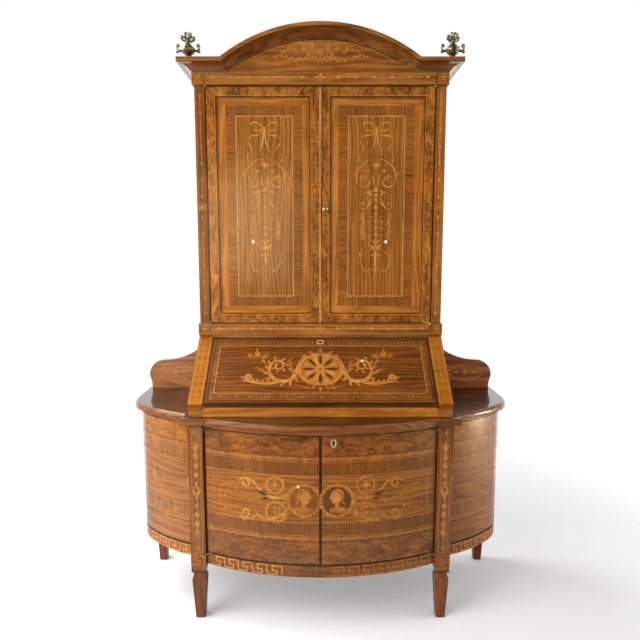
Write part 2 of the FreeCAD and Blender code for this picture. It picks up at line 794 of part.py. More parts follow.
# Base doors on the bow
centre_axis = (bow_half_width - door_gap / 2, pilaster_front + pin_forward)
centre_far = bow_half_width - leaf_length
centre_target = (centre_far, bow_depth(centre_far, -door_thick / 2))
door_leaves, case_leaves = pivot_pair(centre_axis, centre_target, base_door_bottom, base_door_top)
centre_door = bow_strip(0, -door_thick, door_gap / 2, bow_half_width - door_gap,
                        base_door_bottom, base_door_top)
centre_door = let_in(centre_door, door_leaves)
parts["left_centre_door"] = mirrored(centre_door)
parts["left_centre_leaves"] = Part.Compound([mirrored(piece) for piece in door_leaves])
plinth_centre = let_in(plinth_centre, case_leaves[:1] + [mirrored(case_leaves[0])])
rail_centre = let_in(rail_centre, case_leaves[1:] + [mirrored(case_leaves[1])])
fixed_leaves += case_leaves + [mirrored(piece) for piece in case_leaves]

key_tilt = math.asin(key_side / bow_radius)
key_out = Vector(math.sin(key_tilt), -math.cos(key_tilt), 0)
key_across = Vector(math.cos(key_tilt), math.sin(key_tilt), 0)
centre_lock = lock_set(at(key_side, bow_depth(key_side), base_door_top - key_below_top), key_across,
                       Vector(0, 0, 1), key_out, plate_width, plate_height, door_thick)
centre_lock[1].translate(Vector(0, 0, key_below_top - lock_margin - lock_height / 2))
parts["right_centre_door"] = let_in(centre_door, centre_lock)
parts["right_centre_fittings"] = Part.Compound(door_leaves + centre_lock[:2])

# Base doors on the sides
side_axis = (half_width + pin_forward, side_straight - door_gap / 2)
side_reach = leaf_length / end_radius
side_target = (end_centre[0] + (end_radius - door_thick / 2) * math.cos(side_reach),
               end_centre[1] + (end_radius - door_thick / 2) * math.sin(side_reach))
side_leaves, side_case_leaves = pivot_pair(side_axis, side_target, base_door_bottom, base_door_top)
side_door = side_strip(0, -door_thick, pilaster_outer + door_gap, base_door_bottom, base_door_top)
side_key_x = pilaster_outer + side_key_inset
side_tilt = math.asin((side_key_x - sweep_centre[0]) / sweep_radius)
side_out = Vector(math.sin(side_tilt), -math.cos(side_tilt), 0)
side_across = Vector(math.cos(side_tilt), math.sin(side_tilt), 0)
side_lock = lock_set(at(side_key_x, sweep_depth(side_key_x), side_key_height), side_across,
                     Vector(0, 0, 1), side_out, side_plate_width, side_plate_height, door_thick)
# The side lock's case stands clear of the door's free edge
lock_lean = (door_thick + lock_proud) * math.tan(side_tilt)
side_lock[1].translate(side_across * (lock_width / 2 + lock_margin + lock_lean - side_key_inset))
side_door = let_in(side_door, side_leaves + side_lock)
side_fittings = side_leaves + side_lock[:2]
parts["right_side_door"] = side_door
parts["left_side_door"] = mirrored(side_door)
parts["right_side_fittings"] = Part.Compound(side_fittings)
parts["left_side_fittings"] = Part.Compound([mirrored(piece) for piece in side_fittings])
plinth_right = let_in(plinth_right, side_case_leaves[:1])
rail_right = let_in(rail_right, side_case_leaves[1:])
fixed_leaves += side_case_leaves + [mirrored(piece) for piece in side_case_leaves]

parts["plinth_bands"] = Part.Compound([plinth_centre, plinth_right, mirrored(plinth_right)])
parts["base_top_rails"] = Part.Compound([rail_centre, rail_right, mirrored(rail_right)])

# Bookcase doors: a frame of two stiles and two rails around a panel
case_axis = (strip_inner - door_gap / 2, case_depth + pin_forward)
case_target = (strip_inner - leaf_length, case_depth - case_door_thick / 2)
case_door_leaves, case_fixed_leaves = pivot_pair(case_axis, case_target, case_door_bottom, case_door_top)
door_back = case_depth - case_door_thick
panel_front = case_depth - panel_recess


def framed_door(x0, x1, stile0, stile1):
    """Stiles and rails with a groove, and the panel that sits in it."""
    low = case_door_bottom
    high = case_door_top
    panel = box(x0 + stile0 - panel_groove, x1 - stile1 + panel_groove, panel_front - panel_thick,
                panel_front, low + frame_rail - panel_groove, high - frame_rail + panel_groove)
    members = [box(x0, x0 + stile0, door_back, case_depth, low, high),
               box(x1 - stile1, x1, door_back, case_depth, low, high),
               box(x0 + stile0, x1 - stile1, door_back, case_depth, low, low + frame_rail),
               box(x0 + stile0, x1 - stile1, door_back, case_depth, high - frame_rail, high)]
    return [member.cut(panel) for member in members], panel


right_edge = strip_inner - door_gap
left_meeting = meeting_shift - door_gap / 2
right_meeting = meeting_shift + door_gap / 2
left_frame, left_panel = framed_door(-right_edge, left_meeting, frame_stile, left_meeting_stile)
right_frame, right_panel = framed_door(right_meeting, right_edge, right_meeting_stile, frame_stile)
left_door_leaves = [mirrored(piece) for piece in case_door_leaves]
parts["left_door_frame"] = Part.Compound([let_in(member, left_door_leaves) for member in left_frame])
parts["left_door_panel"] = left_panel
parts["left_door_leaves"] = Part.Compound(left_door_leaves)

bead_x = left_meeting - bead_width / 2
bead_radius = (bead_reach ** 2 + (bead_width / 2) ** 2) / (2 * bead_reach)
bead = Part.makeCylinder(bead_radius, case_door_top - case_door_bottom,
                         at(bead_x, case_depth + bead_reach - bead_radius, case_door_bottom))
bead_space = box(bead_x - bead_width / 2, left_meeting, case_depth, case_depth + bead_reach,
                 case_door_bottom, case_door_top)
parts["meeting_bead"] = bead.common(bead_space)

# The knob of the right door is turned in one piece with its plate and screws into the stile
knob_z = waist_top + knob_height
knob_x = right_meeting + knob_inset


def turned(points, x, depth, z):
    """A knob that stands forward, from its distances outward and radii, in flat facets."""
    rings = []
    turns = [2 * math.pi * index / knob_sides for index in range(knob_sides)]
    for out, radius in points:
        rings.append([at(x + radius * math.cos(angle), depth + out, z + radius * math.sin(angle))
                      for angle in turns])
    return faceted(rings)


knob_middle = knob_reach - knob_radius
knob = turned([(0, knob_plate_radius), (knob_plate_thick, knob_plate_radius),
               (knob_plate_thick + knob_round, knob_neck_radius), (knob_middle, knob_radius),
               (knob_reach - knob_round, knob_radius), (knob_reach, knob_neck_radius)],
              knob_x, case_depth, knob_z)
screw_radius = knob_neck_radius / 2
knob_screw = turned([(-case_door_thick / 2, screw_radius), (0, screw_radius)], knob_x, case_depth, knob_z)
knob = knob.fuse(knob_screw).removeSplitter()
right_cuts = case_door_leaves + [knob_screw]
parts["right_door_frame"] = Part.Compound([let_in(member, right_cuts) for member in right_frame])
parts["right_door_panel"] = right_panel
parts["right_door_fittings"] = Part.Compound(case_door_leaves + [knob])

case_fixed_all = case_fixed_leaves + [mirrored(piece) for piece in case_fixed_leaves]
waist_front = let_in(waist_front, [case_fixed_all[0], case_fixed_all[2]])
frieze_front = let_in(frieze_front, [case_fixed_all[1], case_fixed_all[3]])
fixed_leaves += case_fixed_all
parts["waist_band"] = Part.Compound([waist_front, waist_return, mirrored(waist_return)])
parts["frieze"] = Part.Compound([frieze_front, frieze_return, mirrored(frieze_return)])

# The fall turns on leaves let into its ends, about the front corner of the writing board
fall_outline = [slope(fall_edge_gap, 0), slope(fall_length, 0), slope(fall_length, fall_thick),
                slope(fall_edge_gap, fall_thick)]
fall = section(fall_outline, -fall_half, fall_half)
leaf_inner = fall_thick - leaf_width


def fall_leaf(x, low):
    """A leaf in the end of the fall or in a stile, with its eye on the fall's axis."""
    outline = [slope(low, leaf_inner), slope(leaf_length, leaf_inner), slope(leaf_length, fall_thick),
               slope(low, fall_thick)]
    eye = Part.makeCylinder(fall_eye_radius, leaf_thick, at(x, bureau_depth, writing_height),
                            Vector(1, 0, 0))
    return section(outline, x, x + leaf_thick).fuse(eye).removeSplitter()


fall_bore = Part.makeCylinder(pin_radius + pin_clear, leaf_thick,
                              at(fall_half - leaf_thick, bureau_depth, writing_height), Vector(1, 0, 0))
whole_leaf = fall_leaf(fall_half - leaf_thick, fall_edge_gap)
moving_leaf = whole_leaf.cut(fall_bore)
fall_pin = Part.makeCylinder(pin_radius, 2 * leaf_thick + fall_side_gap,
                             at(fall_half - leaf_thick, bureau_depth, writing_height), Vector(1, 0, 0))
fixed_leaf = fall_leaf(stile_inner, 0).fuse(fall_pin).removeSplitter()
fall_leaves = [moving_leaf, mirrored(moving_leaf)]
fall_up = Vector(0, math.cos(slant), math.sin(slant))
fall_out = Vector(0, -math.sin(slant), math.cos(slant))
fall_key = slope(fall_length - fall_key_inset, 0)
fall_lock = lock_set(at(0, fall_key[0], fall_key[1]), Vector(1, 0, 0), fall_up, fall_out,
                     fall_plate_width, fall_plate_height, fall_thick)
# The lock case stays clear of the rail that the closed fall lies against
fall_lock[1].translate(fall_up * (fall_key_inset - stop_lap - lock_margin - lock_height / 2))
parts["fall_board"] = let_in(fall, [whole_leaf, mirrored(whole_leaf)] + fall_lock)
parts["fall_fittings"] = Part.Compound(fall_leaves + fall_lock[:2])

right_stile = right_stile.cut(fixed_leaf)
parts["right_slant_stile"] = right_stile
parts["left_slant_stile"] = mirrored(right_stile)
right_block = right_block.cut(fixed_leaf)
parts["stile_blocks"] = Part.Compound([right_block, mirrored(right_block)])
eye_room = Part.makeCylinder(fall_eye_radius + eye_clear, leaf_thick + fall_side_gap + eye_clear,
                             at(stile_inner, bureau_depth, writing_height), Vector(-1, 0, 0))
parts["front_rail"] = let_in(front_rail, [eye_room, mirrored(eye_room)])
fixed_leaves += [fixed_leaf, mirrored(fixed_leaf)]
parts["fixed_leaves"] = Part.Compound(fixed_leaves)

# Drawers: an open box with a turned knob
drawer_names = ("left_drawer", "middle_drawer", "right_drawer")
for index in range(drawer_count):
    x0 = -bureau_side_inner + index * (drawer_space + divider_thick) + drawer_clear
    x1 = x0 + drawer_space - 2 * drawer_clear
    z0 = writing_height + drawer_clear
    z1 = z0 + drawer_height - drawer_clear
    tray = box(x0, x1, back_thick + drawer_clear, nest_depth, z0, z1)
    hollow = box(x0 + drawer_wall, x1 - drawer_wall, back_thick + drawer_clear + drawer_wall,
                 nest_depth - drawer_front, z0 + drawer_base, z1)
    pull_ball = drawer_knob_reach - drawer_knob_radius
    pull_shoulder = drawer_knob_reach - drawer_knob_neck / 2
    pull = turned([(0, drawer_knob_neck), (pull_ball - drawer_knob_neck, drawer_knob_neck),
                   (pull_ball, drawer_knob_radius), (pull_shoulder, drawer_knob_radius),
                   (drawer_knob_reach, drawer_knob_neck)], (x0 + x1) / 2, nest_depth, (z0 + z1) / 2)
    parts[drawer_names[index]] = Part.Compound([tray.cut(hollow), pull])

os.makedirs("parts", exist_ok=True)
for name, shape in parts.items():
    shape.exportStep(os.path.join("parts", name + ".step"))
print(len(parts), "pieces written")
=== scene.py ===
import math
import bpy
import numpy as np
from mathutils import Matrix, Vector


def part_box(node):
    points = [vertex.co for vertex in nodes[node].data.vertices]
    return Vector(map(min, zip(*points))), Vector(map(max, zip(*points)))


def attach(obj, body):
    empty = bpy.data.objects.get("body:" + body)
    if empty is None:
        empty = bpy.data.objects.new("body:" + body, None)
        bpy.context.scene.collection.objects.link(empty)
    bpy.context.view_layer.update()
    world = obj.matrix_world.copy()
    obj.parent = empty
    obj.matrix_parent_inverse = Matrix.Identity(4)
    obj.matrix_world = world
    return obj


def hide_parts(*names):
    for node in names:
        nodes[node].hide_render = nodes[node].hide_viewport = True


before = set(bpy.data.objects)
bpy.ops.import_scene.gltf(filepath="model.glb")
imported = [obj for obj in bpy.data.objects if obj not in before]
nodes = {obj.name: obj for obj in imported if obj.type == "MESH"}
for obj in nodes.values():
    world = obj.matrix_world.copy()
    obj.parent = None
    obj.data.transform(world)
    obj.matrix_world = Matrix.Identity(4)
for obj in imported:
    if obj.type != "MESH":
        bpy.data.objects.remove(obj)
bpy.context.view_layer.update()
mm = 0.001
bothSides = (("left", -1), ("right", 1))
print("frame loaded:", len(nodes), "nodes")


# Sockets of a node: an output is linked to its socket, and a plain value is set on it
def fill(tree, node, sockets):
    for key, value in sockets.items():
        if isinstance(value, bpy.types.NodeSocket):
            tree.links.new(value, node.inputs[key])
        else:
            node.inputs[key].default_value = value


# A new shader node with its settings and sockets
def put(tree, kind, sockets=None, **props):
    made = tree.nodes.new("ShaderNode" + kind)
    for key, value in props.items():
        setattr(made, key, value)
    fill(tree, made, sockets or {})
    return made


# One step of arithmetic on one to three values
def calc(tree, operation, first, second=0.0, third=0.0):
    return put(tree, "Math", {0: first, 1: second, 2: third}, operation=operation).outputs[0]


# Two colours blended by a share from 0 to 1
def blendColour(tree, share, first, second, kind="MIX"):
    made = put(tree, "Mix", {0: share, 6: first, 7: second}, data_type="RGBA", blend_type=kind)
    return made.outputs[2]


# Soft noise from 0 to 1 over a place
def noise(tree, vector, scale, detail=3.0, rough=0.5, distort=0.0):
    made = put(tree, "TexNoise", {"Vector": vector, "Scale": scale, "Detail": detail,
                                  "Roughness": rough, "Distortion": distort})
    return made.outputs["Fac"]


# A place scaled along each axis and shifted
def stretch(tree, vector, scale, shift=(0, 0, 0)):
    return put(tree, "Mapping", {"Vector": vector, "Scale": scale, "Location": shift}).outputs[0]


# A value spread evenly from 0 at the first limit to 1 at the second, and held there beyond them
def ramp(tree, value, low, high):
    made = put(tree, "MapRange", {"Value": value, "From Min": low, "From Max": high}, clamp=True)
    return made.outputs[0]


# An empty node group with labelled sockets, and its inside ends
def newGroup(name, inputs, outputs):
    group = bpy.data.node_groups.new(name, "ShaderNodeTree")
    for label, kind in inputs:
        group.interface.new_socket(label, in_out="INPUT", socket_type="NodeSocket" + kind)
    for label, kind in outputs:
        group.interface.new_socket(label, in_out="OUTPUT", socket_type="NodeSocket" + kind)
    return group, group.nodes.new("NodeGroupInput").outputs, group.nodes.new("NodeGroupOutput").inputs


figureIn = [("Grain", "Vector"), ("Dark", "Color"), ("Mid", "Color"), ("Light", "Color"),
            ("Across", "Float"), ("Streak", "Float"), ("Pores", "Float")]
figureOut = [("Color", "Color"), ("Rough", "Float"), ("Height", "Float")]
ringTurn = 6.283  # one growth ring, in radians


# Straight figure: X runs along the grain. Broad streaks, fine fibres and short pores
def makeStraightFigure():
    group, given, out = newGroup("straightFigure", figureIn, figureOut)
    grain = given["Grain"]
    drift = noise(group, stretch(group, grain, (1.2, 9, 9)), 1.0, 3.0)
    way = put(group, "SeparateXYZ", {0: grain}).outputs
    across = calc(group, "MULTIPLY", way[1], given["Across"])
    deep = calc(group, "MULTIPLY", way[2], given["Across"])
    phase = calc(group, "ADD", calc(group, "ADD", across, deep), calc(group, "MULTIPLY", drift, 7.0))
    rings = calc(group, "SINE", calc(group, "MULTIPLY", phase, ringTurn))
    rings = calc(group, "MULTIPLY_ADD", rings, 0.5, 0.5)
    broad = noise(group, stretch(group, grain, (3, 34, 34)), 1.0, 4.0, 0.6, 0.4)
    fibre = noise(group, stretch(group, grain, (16, 520, 520)), 1.0, 3.0, 0.6)
    pore = noise(group, stretch(group, grain, (110, 1500, 1500)), 1.0, 1.0)
    tone = calc(group, "MULTIPLY_ADD", rings, 0.22, calc(group, "MULTIPLY", broad, 0.62))
    tone = calc(group, "MULTIPLY_ADD", fibre, 0.3, tone)
    low = blendColour(group, ramp(group, tone, 0.3, 0.58), given["Dark"], given["Mid"])
    colour = blendColour(group, ramp(group, tone, 0.52, 0.85), low, given["Light"])
    streak = ramp(group, noise(group, stretch(group, grain, (2, 60, 60), (3, 1, 5)), 1.0, 2.0), 0.52, 0.72)
    colour = blendColour(group, calc(group, "MULTIPLY", streak, given["Streak"]), colour, given["Dark"])
    ticks = calc(group, "MULTIPLY", ramp(group, pore, 0.56, 0.68), given["Pores"])
    colour = blendColour(group, ticks, colour, given["Dark"], "MULTIPLY")
    group.links.new(colour, out["Color"])
    group.links.new(calc(group, "MULTIPLY_ADD", fibre, 0.16, 0.2), out["Rough"])
    group.links.new(calc(group, "SUBTRACT", calc(group, "MULTIPLY", fibre, 0.5), ticks), out["Height"])
    return group


# Burr figure: grain that swirls round small dark eyes
def makeBurrFigure():
    group, given, out = newGroup("burrFigure", figureIn, figureOut)
    grain = given["Grain"]
    swirl = put(group, "TexNoise", {"Vector": grain, "Scale": 22.0, "Detail": 3.0}).outputs["Color"]
    swirl = put(group, "VectorMath", {0: swirl, 1: (0.5, 0.5, 0.5)}, operation="SUBTRACT").outputs[0]
    swirl = put(group, "VectorMath", {0: swirl, "Scale": 0.055}, operation="SCALE").outputs[0]
    moved = put(group, "VectorMath", {0: grain, 1: swirl}, operation="ADD").outputs[0]
    cloud = noise(group, stretch(group, moved, (14, 40, 40)), 1.0, 4.0, 0.6, 0.6)
    flame = noise(group, stretch(group, moved, (40, 170, 170)), 1.0, 3.0, 0.6, 0.8)
    eyes = put(group, "TexVoronoi", {"Vector": moved, "Scale": given["Across"]}, feature="SMOOTH_F1")
    eye = calc(group, "SUBTRACT", 1.0, ramp(group, eyes.outputs["Distance"], 0.05, 0.32))
    tone = calc(group, "MULTIPLY_ADD", cloud, 0.7, calc(group, "MULTIPLY", flame, 0.4))
    low = blendColour(group, ramp(group, tone, 0.36, 0.56), given["Dark"], given["Mid"])
    colour = blendColour(group, ramp(group, tone, 0.52, 0.78), low, given["Light"])
    colour = blendColour(group, calc(group, "MULTIPLY", eye, given["Streak"]), colour, given["Dark"])
    pore = noise(group, stretch(group, moved, (300, 900, 900)), 1.0, 1.0)
    ticks = calc(group, "MULTIPLY", ramp(group, pore, 0.58, 0.7), given["Pores"])
    colour = blendColour(group, ticks, colour, given["Dark"], "MULTIPLY")
    group.links.new(colour, out["Color"])
    group.links.new(calc(group, "MULTIPLY_ADD", flame, 0.16, 0.18), out["Rough"])
    group.links.new(calc(group, "SUBTRACT", calc(group, "MULTIPLY", flame, 0.4), ticks), out["Height"])
    return group


# Patina: faded and darkened clouds over a whole piece, with small rubbed specks
def makePatina():
    group, given, out = newGroup("patina", [("Place", "Vector"), ("Color", "Color"), ("Amount", "Float")],
                                 [("Color", "Color"), ("Wear", "Float")])
    cloud = noise(group, given["Place"], 3.1, 4.0, 0.6)
    dusk = calc(group, "MULTIPLY", ramp(group, cloud, 0.62, 0.3), given["Amount"])
    dark = blendColour(group, dusk, given["Color"], (0.34, 0.25, 0.2, 1), "MULTIPLY")
    bleach = ramp(group, noise(group, given["Place"], 5.3, 3.0), 0.55, 0.75)
    bleach = calc(group, "MULTIPLY", bleach, given["Amount"])
    pale = blendColour(group, bleach, dark, (1.0, 0.72, 0.45, 1), "SOFT_LIGHT")
    speck = ramp(group, noise(group, given["Place"], 330.0, 2.0), 0.7, 0.76)
    worn = blendColour(group, calc(group, "MULTIPLY", speck, 0.4), pale, (0.05, 0.025, 0.012, 1))
    group.links.new(worn, out["Color"])
    group.links.new(speck, out["Wear"])
    return group


groups = {"straight": makeStraightFigure(), "burr": makeBurrFigure()}
patinaGroup = makePatina()


# A new material with its node tree and main shader
def newMaterial(name):
    material = bpy.data.materials.new(name)
    material.use_nodes = True
    return material, material.node_tree, material.node_tree.nodes["Principled BSDF"]


# Veneers: colours in linear light, grain axis of a CAD node or the piece's own grain map
veneers = {
    "walnut": dict(dark=(0.14, 0.043, 0.008), mid=(0.29, 0.095, 0.016), light=(0.43, 0.165, 0.033),
                   across=26.0, streak=0.45, pores=0.5, figure="straight", coat=0.35, patina=0.45),
    "field": dict(dark=(0.14, 0.042, 0.006), mid=(0.3, 0.1, 0.012), light=(0.44, 0.17, 0.024),
                  across=60.0, streak=0.3, pores=0.75, figure="straight", coat=0.4, patina=0.4),
    "amber": dict(dark=(0.22, 0.064, 0.008), mid=(0.39, 0.13, 0.016), light=(0.54, 0.21, 0.035),
                  across=30.0, streak=0.35, pores=0.4, figure="straight", coat=0.2, patina=0.35),
    "crossband": dict(dark=(0.11, 0.033, 0.006), mid=(0.205, 0.065, 0.01), light=(0.31, 0.106, 0.017),
                      across=140.0, streak=0.4, pores=0.5, figure="straight", coat=0.4, patina=0.5),
    "border": dict(dark=(0.14, 0.042, 0.007), mid=(0.27, 0.09, 0.013), light=(0.4, 0.15, 0.024),
                   across=110.0, streak=0.4, pores=0.5, figure="straight", coat=0.3, patina=0.7),
    "burr": dict(dark=(0.08, 0.022, 0.004), mid=(0.285, 0.089, 0.011), light=(0.56, 0.225, 0.035),
                 across=46.0, streak=0.65, pores=0.5, figure="burr", coat=0.25, patina=0.6),
    "burrSoft": dict(dark=(0.075, 0.021, 0.004), mid=(0.235, 0.073, 0.013), light=(0.42, 0.155, 0.033),
                     across=110.0, streak=0.65, pores=0.5, figure="burr", coat=0.5, patina=0.55),
    "fallField": dict(dark=(0.07, 0.018, 0.003), mid=(0.165, 0.047, 0.006), light=(0.255, 0.085, 0.012),
                      across=60.0, streak=0.3, pores=0.75, figure="straight", coat=0.08, patina=0.4),
    "burrAmber": dict(dark=(0.17, 0.05, 0.005), mid=(0.33, 0.112, 0.01), light=(0.48, 0.19, 0.022),
                      across=60.0, streak=0.4, pores=0.4, figure="burr", coat=0.6, patina=0.3),
    "moulding": dict(dark=(0.075, 0.021, 0.004), mid=(0.19, 0.058, 0.01), light=(0.3, 0.103, 0.017),
                     across=26.0, streak=0.4, pores=0.5, figure="straight", coat=0.5, patina=0.45),
    "rosy": dict(dark=(0.15, 0.048, 0.019), mid=(0.3, 0.104, 0.04), light=(0.43, 0.175, 0.07),
                 across=24.0, streak=0.4, pores=0.5, figure="straight", coat=0.35, patina=0.4),
    "dark": dict(dark=(0.014, 0.004, 0.002), mid=(0.032, 0.008, 0.004), light=(0.06, 0.017, 0.007),
                 across=16.0, streak=0.5, pores=0.5, figure="straight", coat=0.75, patina=0.4, shine=0.08,
                 coatRough=0.04, coatIor=1.65),
    "stile": dict(dark=(0.24, 0.072, 0.006), mid=(0.33, 0.108, 0.009), light=(0.4, 0.145, 0.013),
                  across=30.0, streak=0.25, pores=0.35, figure="straight", coat=0.04, patina=0.3, shine=0.2),
    "leg": dict(dark=(0.075, 0.02, 0.007), mid=(0.19, 0.05, 0.015), light=(0.3, 0.088, 0.027),
                across=20.0, streak=0.5, pores=0.5, figure="straight", coat=0.4, patina=0.4),
    "topEdge": dict(dark=(0.106, 0.035, 0.01), mid=(0.205, 0.071, 0.023), light=(0.3, 0.116, 0.042),
                    across=26.0, streak=0.4, pores=0.5, figure="straight", coat=0.35, patina=0.4),
    "rim": dict(dark=(0.13, 0.043, 0.013), mid=(0.25, 0.088, 0.03), light=(0.37, 0.145, 0.055),
                across=40.0, streak=0.45, pores=0.5, figure="straight", coat=0.4, patina=0.5),
    "endWood": dict(dark=(0.19, 0.06, 0.012), mid=(0.315, 0.109, 0.024), light=(0.43, 0.168, 0.045),
                    across=36.0, streak=0.28, pores=0.5, figure="straight", coat=0.6, patina=0.5),
    "plain": dict(dark=(0.19, 0.105, 0.05), mid=(0.34, 0.2, 0.1), light=(0.45, 0.29, 0.16),
                  across=14.0, streak=0.35, pores=0.6, figure="straight", coat=0.0, patina=0.6),
}
varnishTint = (1.0, 0.78, 0.45, 1)  # old varnish warms what the wood reflects
bareRough = 0.3  # added where the wood has no varnish
turnOf = {"x": (0, 0, 0), "y": (0, 0, -math.pi / 2), "z": (0, math.pi / 2, 0)}
madeVeneers = {}


# Veneer: figure by grain, then patina by place. Roughness grows with wear, and bare wood adds more
def veneerMaterial(kind, along):
    key = kind + "_" + along
    if key in madeVeneers:
        return madeVeneers[key]
    look = veneers[kind]
    material, tree, shader = newMaterial(key)
    place = put(tree, "TexCoord").outputs["Object"]
    if along == "map":
        grain = put(tree, "UVMap", uv_map="grain").outputs[0]
    else:
        grain = put(tree, "Mapping", {"Vector": place, "Rotation": turnOf[along]}).outputs[0]
    colours = {label: (*look[label.lower()], 1) for label in ("Dark", "Mid", "Light")}
    numbers = {label: look[label.lower()] for label in ("Across", "Streak", "Pores")}
    given = {"Grain": grain, **colours, **numbers}
    figure = put(tree, "Group", given, node_tree=groups[look["figure"]]).outputs
    patina = put(tree, "Group", {"Place": place, "Color": figure["Color"], "Amount": look["patina"]},
                 node_tree=patinaGroup).outputs
    rough = calc(tree, "MULTIPLY_ADD", patina["Wear"], 0.3, figure["Rough"])
    if look["coat"] == 0:
        rough = calc(tree, "ADD", rough, bareRough)
    bump = put(tree, "Bump", {"Height": figure["Height"], "Strength": 0.12, "Distance": 0.0006})
    fill(tree, shader, {"Base Color": patina["Color"], "Roughness": rough, "Normal": bump.outputs[0],
                        "Specular IOR Level": look.get("shine", 0.5), "Specular Tint": varnishTint,
                        "Coat Weight": look["coat"], "Coat Roughness": look.get("coatRough", 0.12),
                        "Coat IOR": look.get("coatIor", 1.5)})
    madeVeneers[key] = material
    return material


# Inlay woods: the tone of each cut shape picks its wood, with a fine grain over it
inlayTones = [(0.0, (0.016, 0.008, 0.004)), (0.18, (0.04, 0.034, 0.012)), (0.3, (0.14, 0.045, 0.009)),
              (0.45, (0.46, 0.14, 0.018)), (0.62, (0.45, 0.17, 0.028)), (0.8, (0.6, 0.28, 0.062)),
              (0.92, (0.7, 0.41, 0.14)), (1.0, (0.78, 0.7, 0.55))]


# The colour is the wood of the tone times a shade of fibre and cloud
def makeInlayMaterial():
    material, tree, shader = newMaterial("inlayWoods")
    tone = put(tree, "Attribute", attribute_name="tone").outputs["Fac"]
    grain = put(tree, "UVMap", uv_map="grain").outputs[0]
    place = put(tree, "TexCoord").outputs["Object"]
    scale = put(tree, "ValToRGB", {"Fac": tone})
    stops = scale.color_ramp.elements
    while len(stops) < len(inlayTones):
        stops.new(0.5)
    for stop, (position, colour) in zip(stops, inlayTones):
        stop.position = position
        stop.color = (*colour, 1)
    fibre = noise(tree, stretch(tree, grain, (40, 600, 600)), 1.0, 3.0)
    cloud = calc(tree, "MULTIPLY", noise(tree, place, 42.0, 3.0), 0.65)
    shade = ramp(tree, calc(tree, "MULTIPLY_ADD", fibre, 0.45, cloud), 0.3, 0.72)
    colour = blendColour(tree, shade, (0.42, 0.34, 0.27, 1), (1.06, 1.03, 1, 1))
    colour = blendColour(tree, 1.0, scale.outputs["Color"], colour, "MULTIPLY")
    bump = put(tree, "Bump", {"Height": fibre, "Strength": 0.1, "Distance": 0.0004})
    fill(tree, shader, {"Base Color": colour, "Roughness": calc(tree, "MULTIPLY_ADD", fibre, 0.2, 0.22),
                        "Normal": bump.outputs[0], "Specular Tint": varnishTint, "Coat Weight": 0.2,
                        "Coat Roughness": 0.12})
    return material


# Metal: aged brass with dark hollows and rubbed bright spots
def makeBrass(name, bright, deep, tarnish):
    material, tree, shader = newMaterial(name)
    place = put(tree, "TexCoord").outputs["Object"]
    cloud = calc(tree, "MULTIPLY", noise(tree, place, 120.0, 5.0, 0.65), 0.8)
    fine = noise(tree, place, 900.0, 3.0)
    shade = ramp(tree, calc(tree, "MULTIPLY_ADD", fine, 0.3, cloud), 0.35, 0.8)
    colour = blendColour(tree, calc(tree, "MULTIPLY", shade, tarnish), (*bright, 1), (*deep, 1))
    bump = put(tree, "Bump", {"Height": fine, "Strength": 0.12, "Distance": 0.0004})
    fill(tree, shader, {"Base Color": colour, "Roughness": calc(tree, "MULTIPLY_ADD", shade, 0.3, 0.22),
                        "Normal": bump.outputs[0], "Metallic": 1.0})
    return material


# Bone: pale, with uneven stains
def makeBone():
    material, tree, shader = newMaterial("bone")
    stain = ramp(tree, noise(tree, put(tree, "TexCoord").outputs["Object"], 420.0, 3.0), 0.35, 0.7)
    colour = blendColour(tree, stain, (0.62, 0.5, 0.34, 1), (0.34, 0.23, 0.12, 1))
    fill(tree, shader, {"Base Color": colour, "Roughness": 0.35})
    return material


inlayWoods = makeInlayMaterial()
agedBrass = makeBrass("agedBrass", (0.5, 0.33, 0.14), (0.09, 0.05, 0.022), 0.85)
urnBrass = makeBrass("urnBrass", (0.42, 0.36, 0.24), (0.04, 0.034, 0.024), 1.0)
boneRim = makeBone()
print("materials ready")

# Finish of each CAD node: veneer and the axis that its grain follows. The nodes not named here are brass
finishes = {
    ("walnut", "x"): ["base_top_rails", "left_centre_door", "right_centre_door", "left_side_door",
                      "right_side_door", "writing_board", "stile_blocks", "fall_stop_rail", "waist_band",
                      "frieze", "tympanum", "left_drawer", "middle_drawer", "right_drawer", "nest_shelf"],
    ("walnut", "y"): ["bureau_sides", "drawer_dividers"],
    ("walnut", "z"): ["left_pilaster", "right_pilaster", "base_side_panels", "bookcase_sides",
                      "bookcase_strips", "pigeonhole_walls"],
    ("moulding", "x"): ["plinth_bands", "left_cornice", "right_cornice", "arch_moulding"],
    ("leg", "z"): ["back_legs"],
    ("rosy", "x"): ["scrolled_wings"],
    ("dark", "x"): ["base_top"],
    ("stile", "x"): ["left_slant_stile", "right_slant_stile"],
    ("fallField", "x"): ["fall_board"],
    ("field", "z"): ["left_door_panel", "right_door_panel"],
    ("burr", "z"): ["left_door_frame", "right_door_frame"],
    ("amber", "x"): ["front_rail"],
    ("amber", "z"): ["meeting_bead"],
    ("plain", "x"): ["base_bottom", "centre_shelf", "side_shelves", "bureau_back", "bookcase_shelves",
                     "bookcase_floor", "bookcase_roof"],
    ("plain", "y"): ["shelf_battens"],
    ("plain", "z"): ["base_back", "base_partitions", "bookcase_back"],
}
finishOf = {name: finish for finish, names in finishes.items() for name in names}
for name, piece in nodes.items():
    material = veneerMaterial(*finishOf[name]) if name in finishOf else agedBrass
    piece.data.materials.clear()
    piece.data.materials.append(material)

# A second finish by face: the edge of the top, the legs below the pilaster blocks and the flat of the cornice
legTop = 0.187


# A value with three parts for every face of a node, such as its normal, as three rows
def faceValues(name, label):
    mesh = nodes[name].data
    values = np.zeros(len(mesh.polygons) * 3, np.float32)
    mesh.polygons.foreach_get(label, values)
    return values.reshape(-1, 3).T


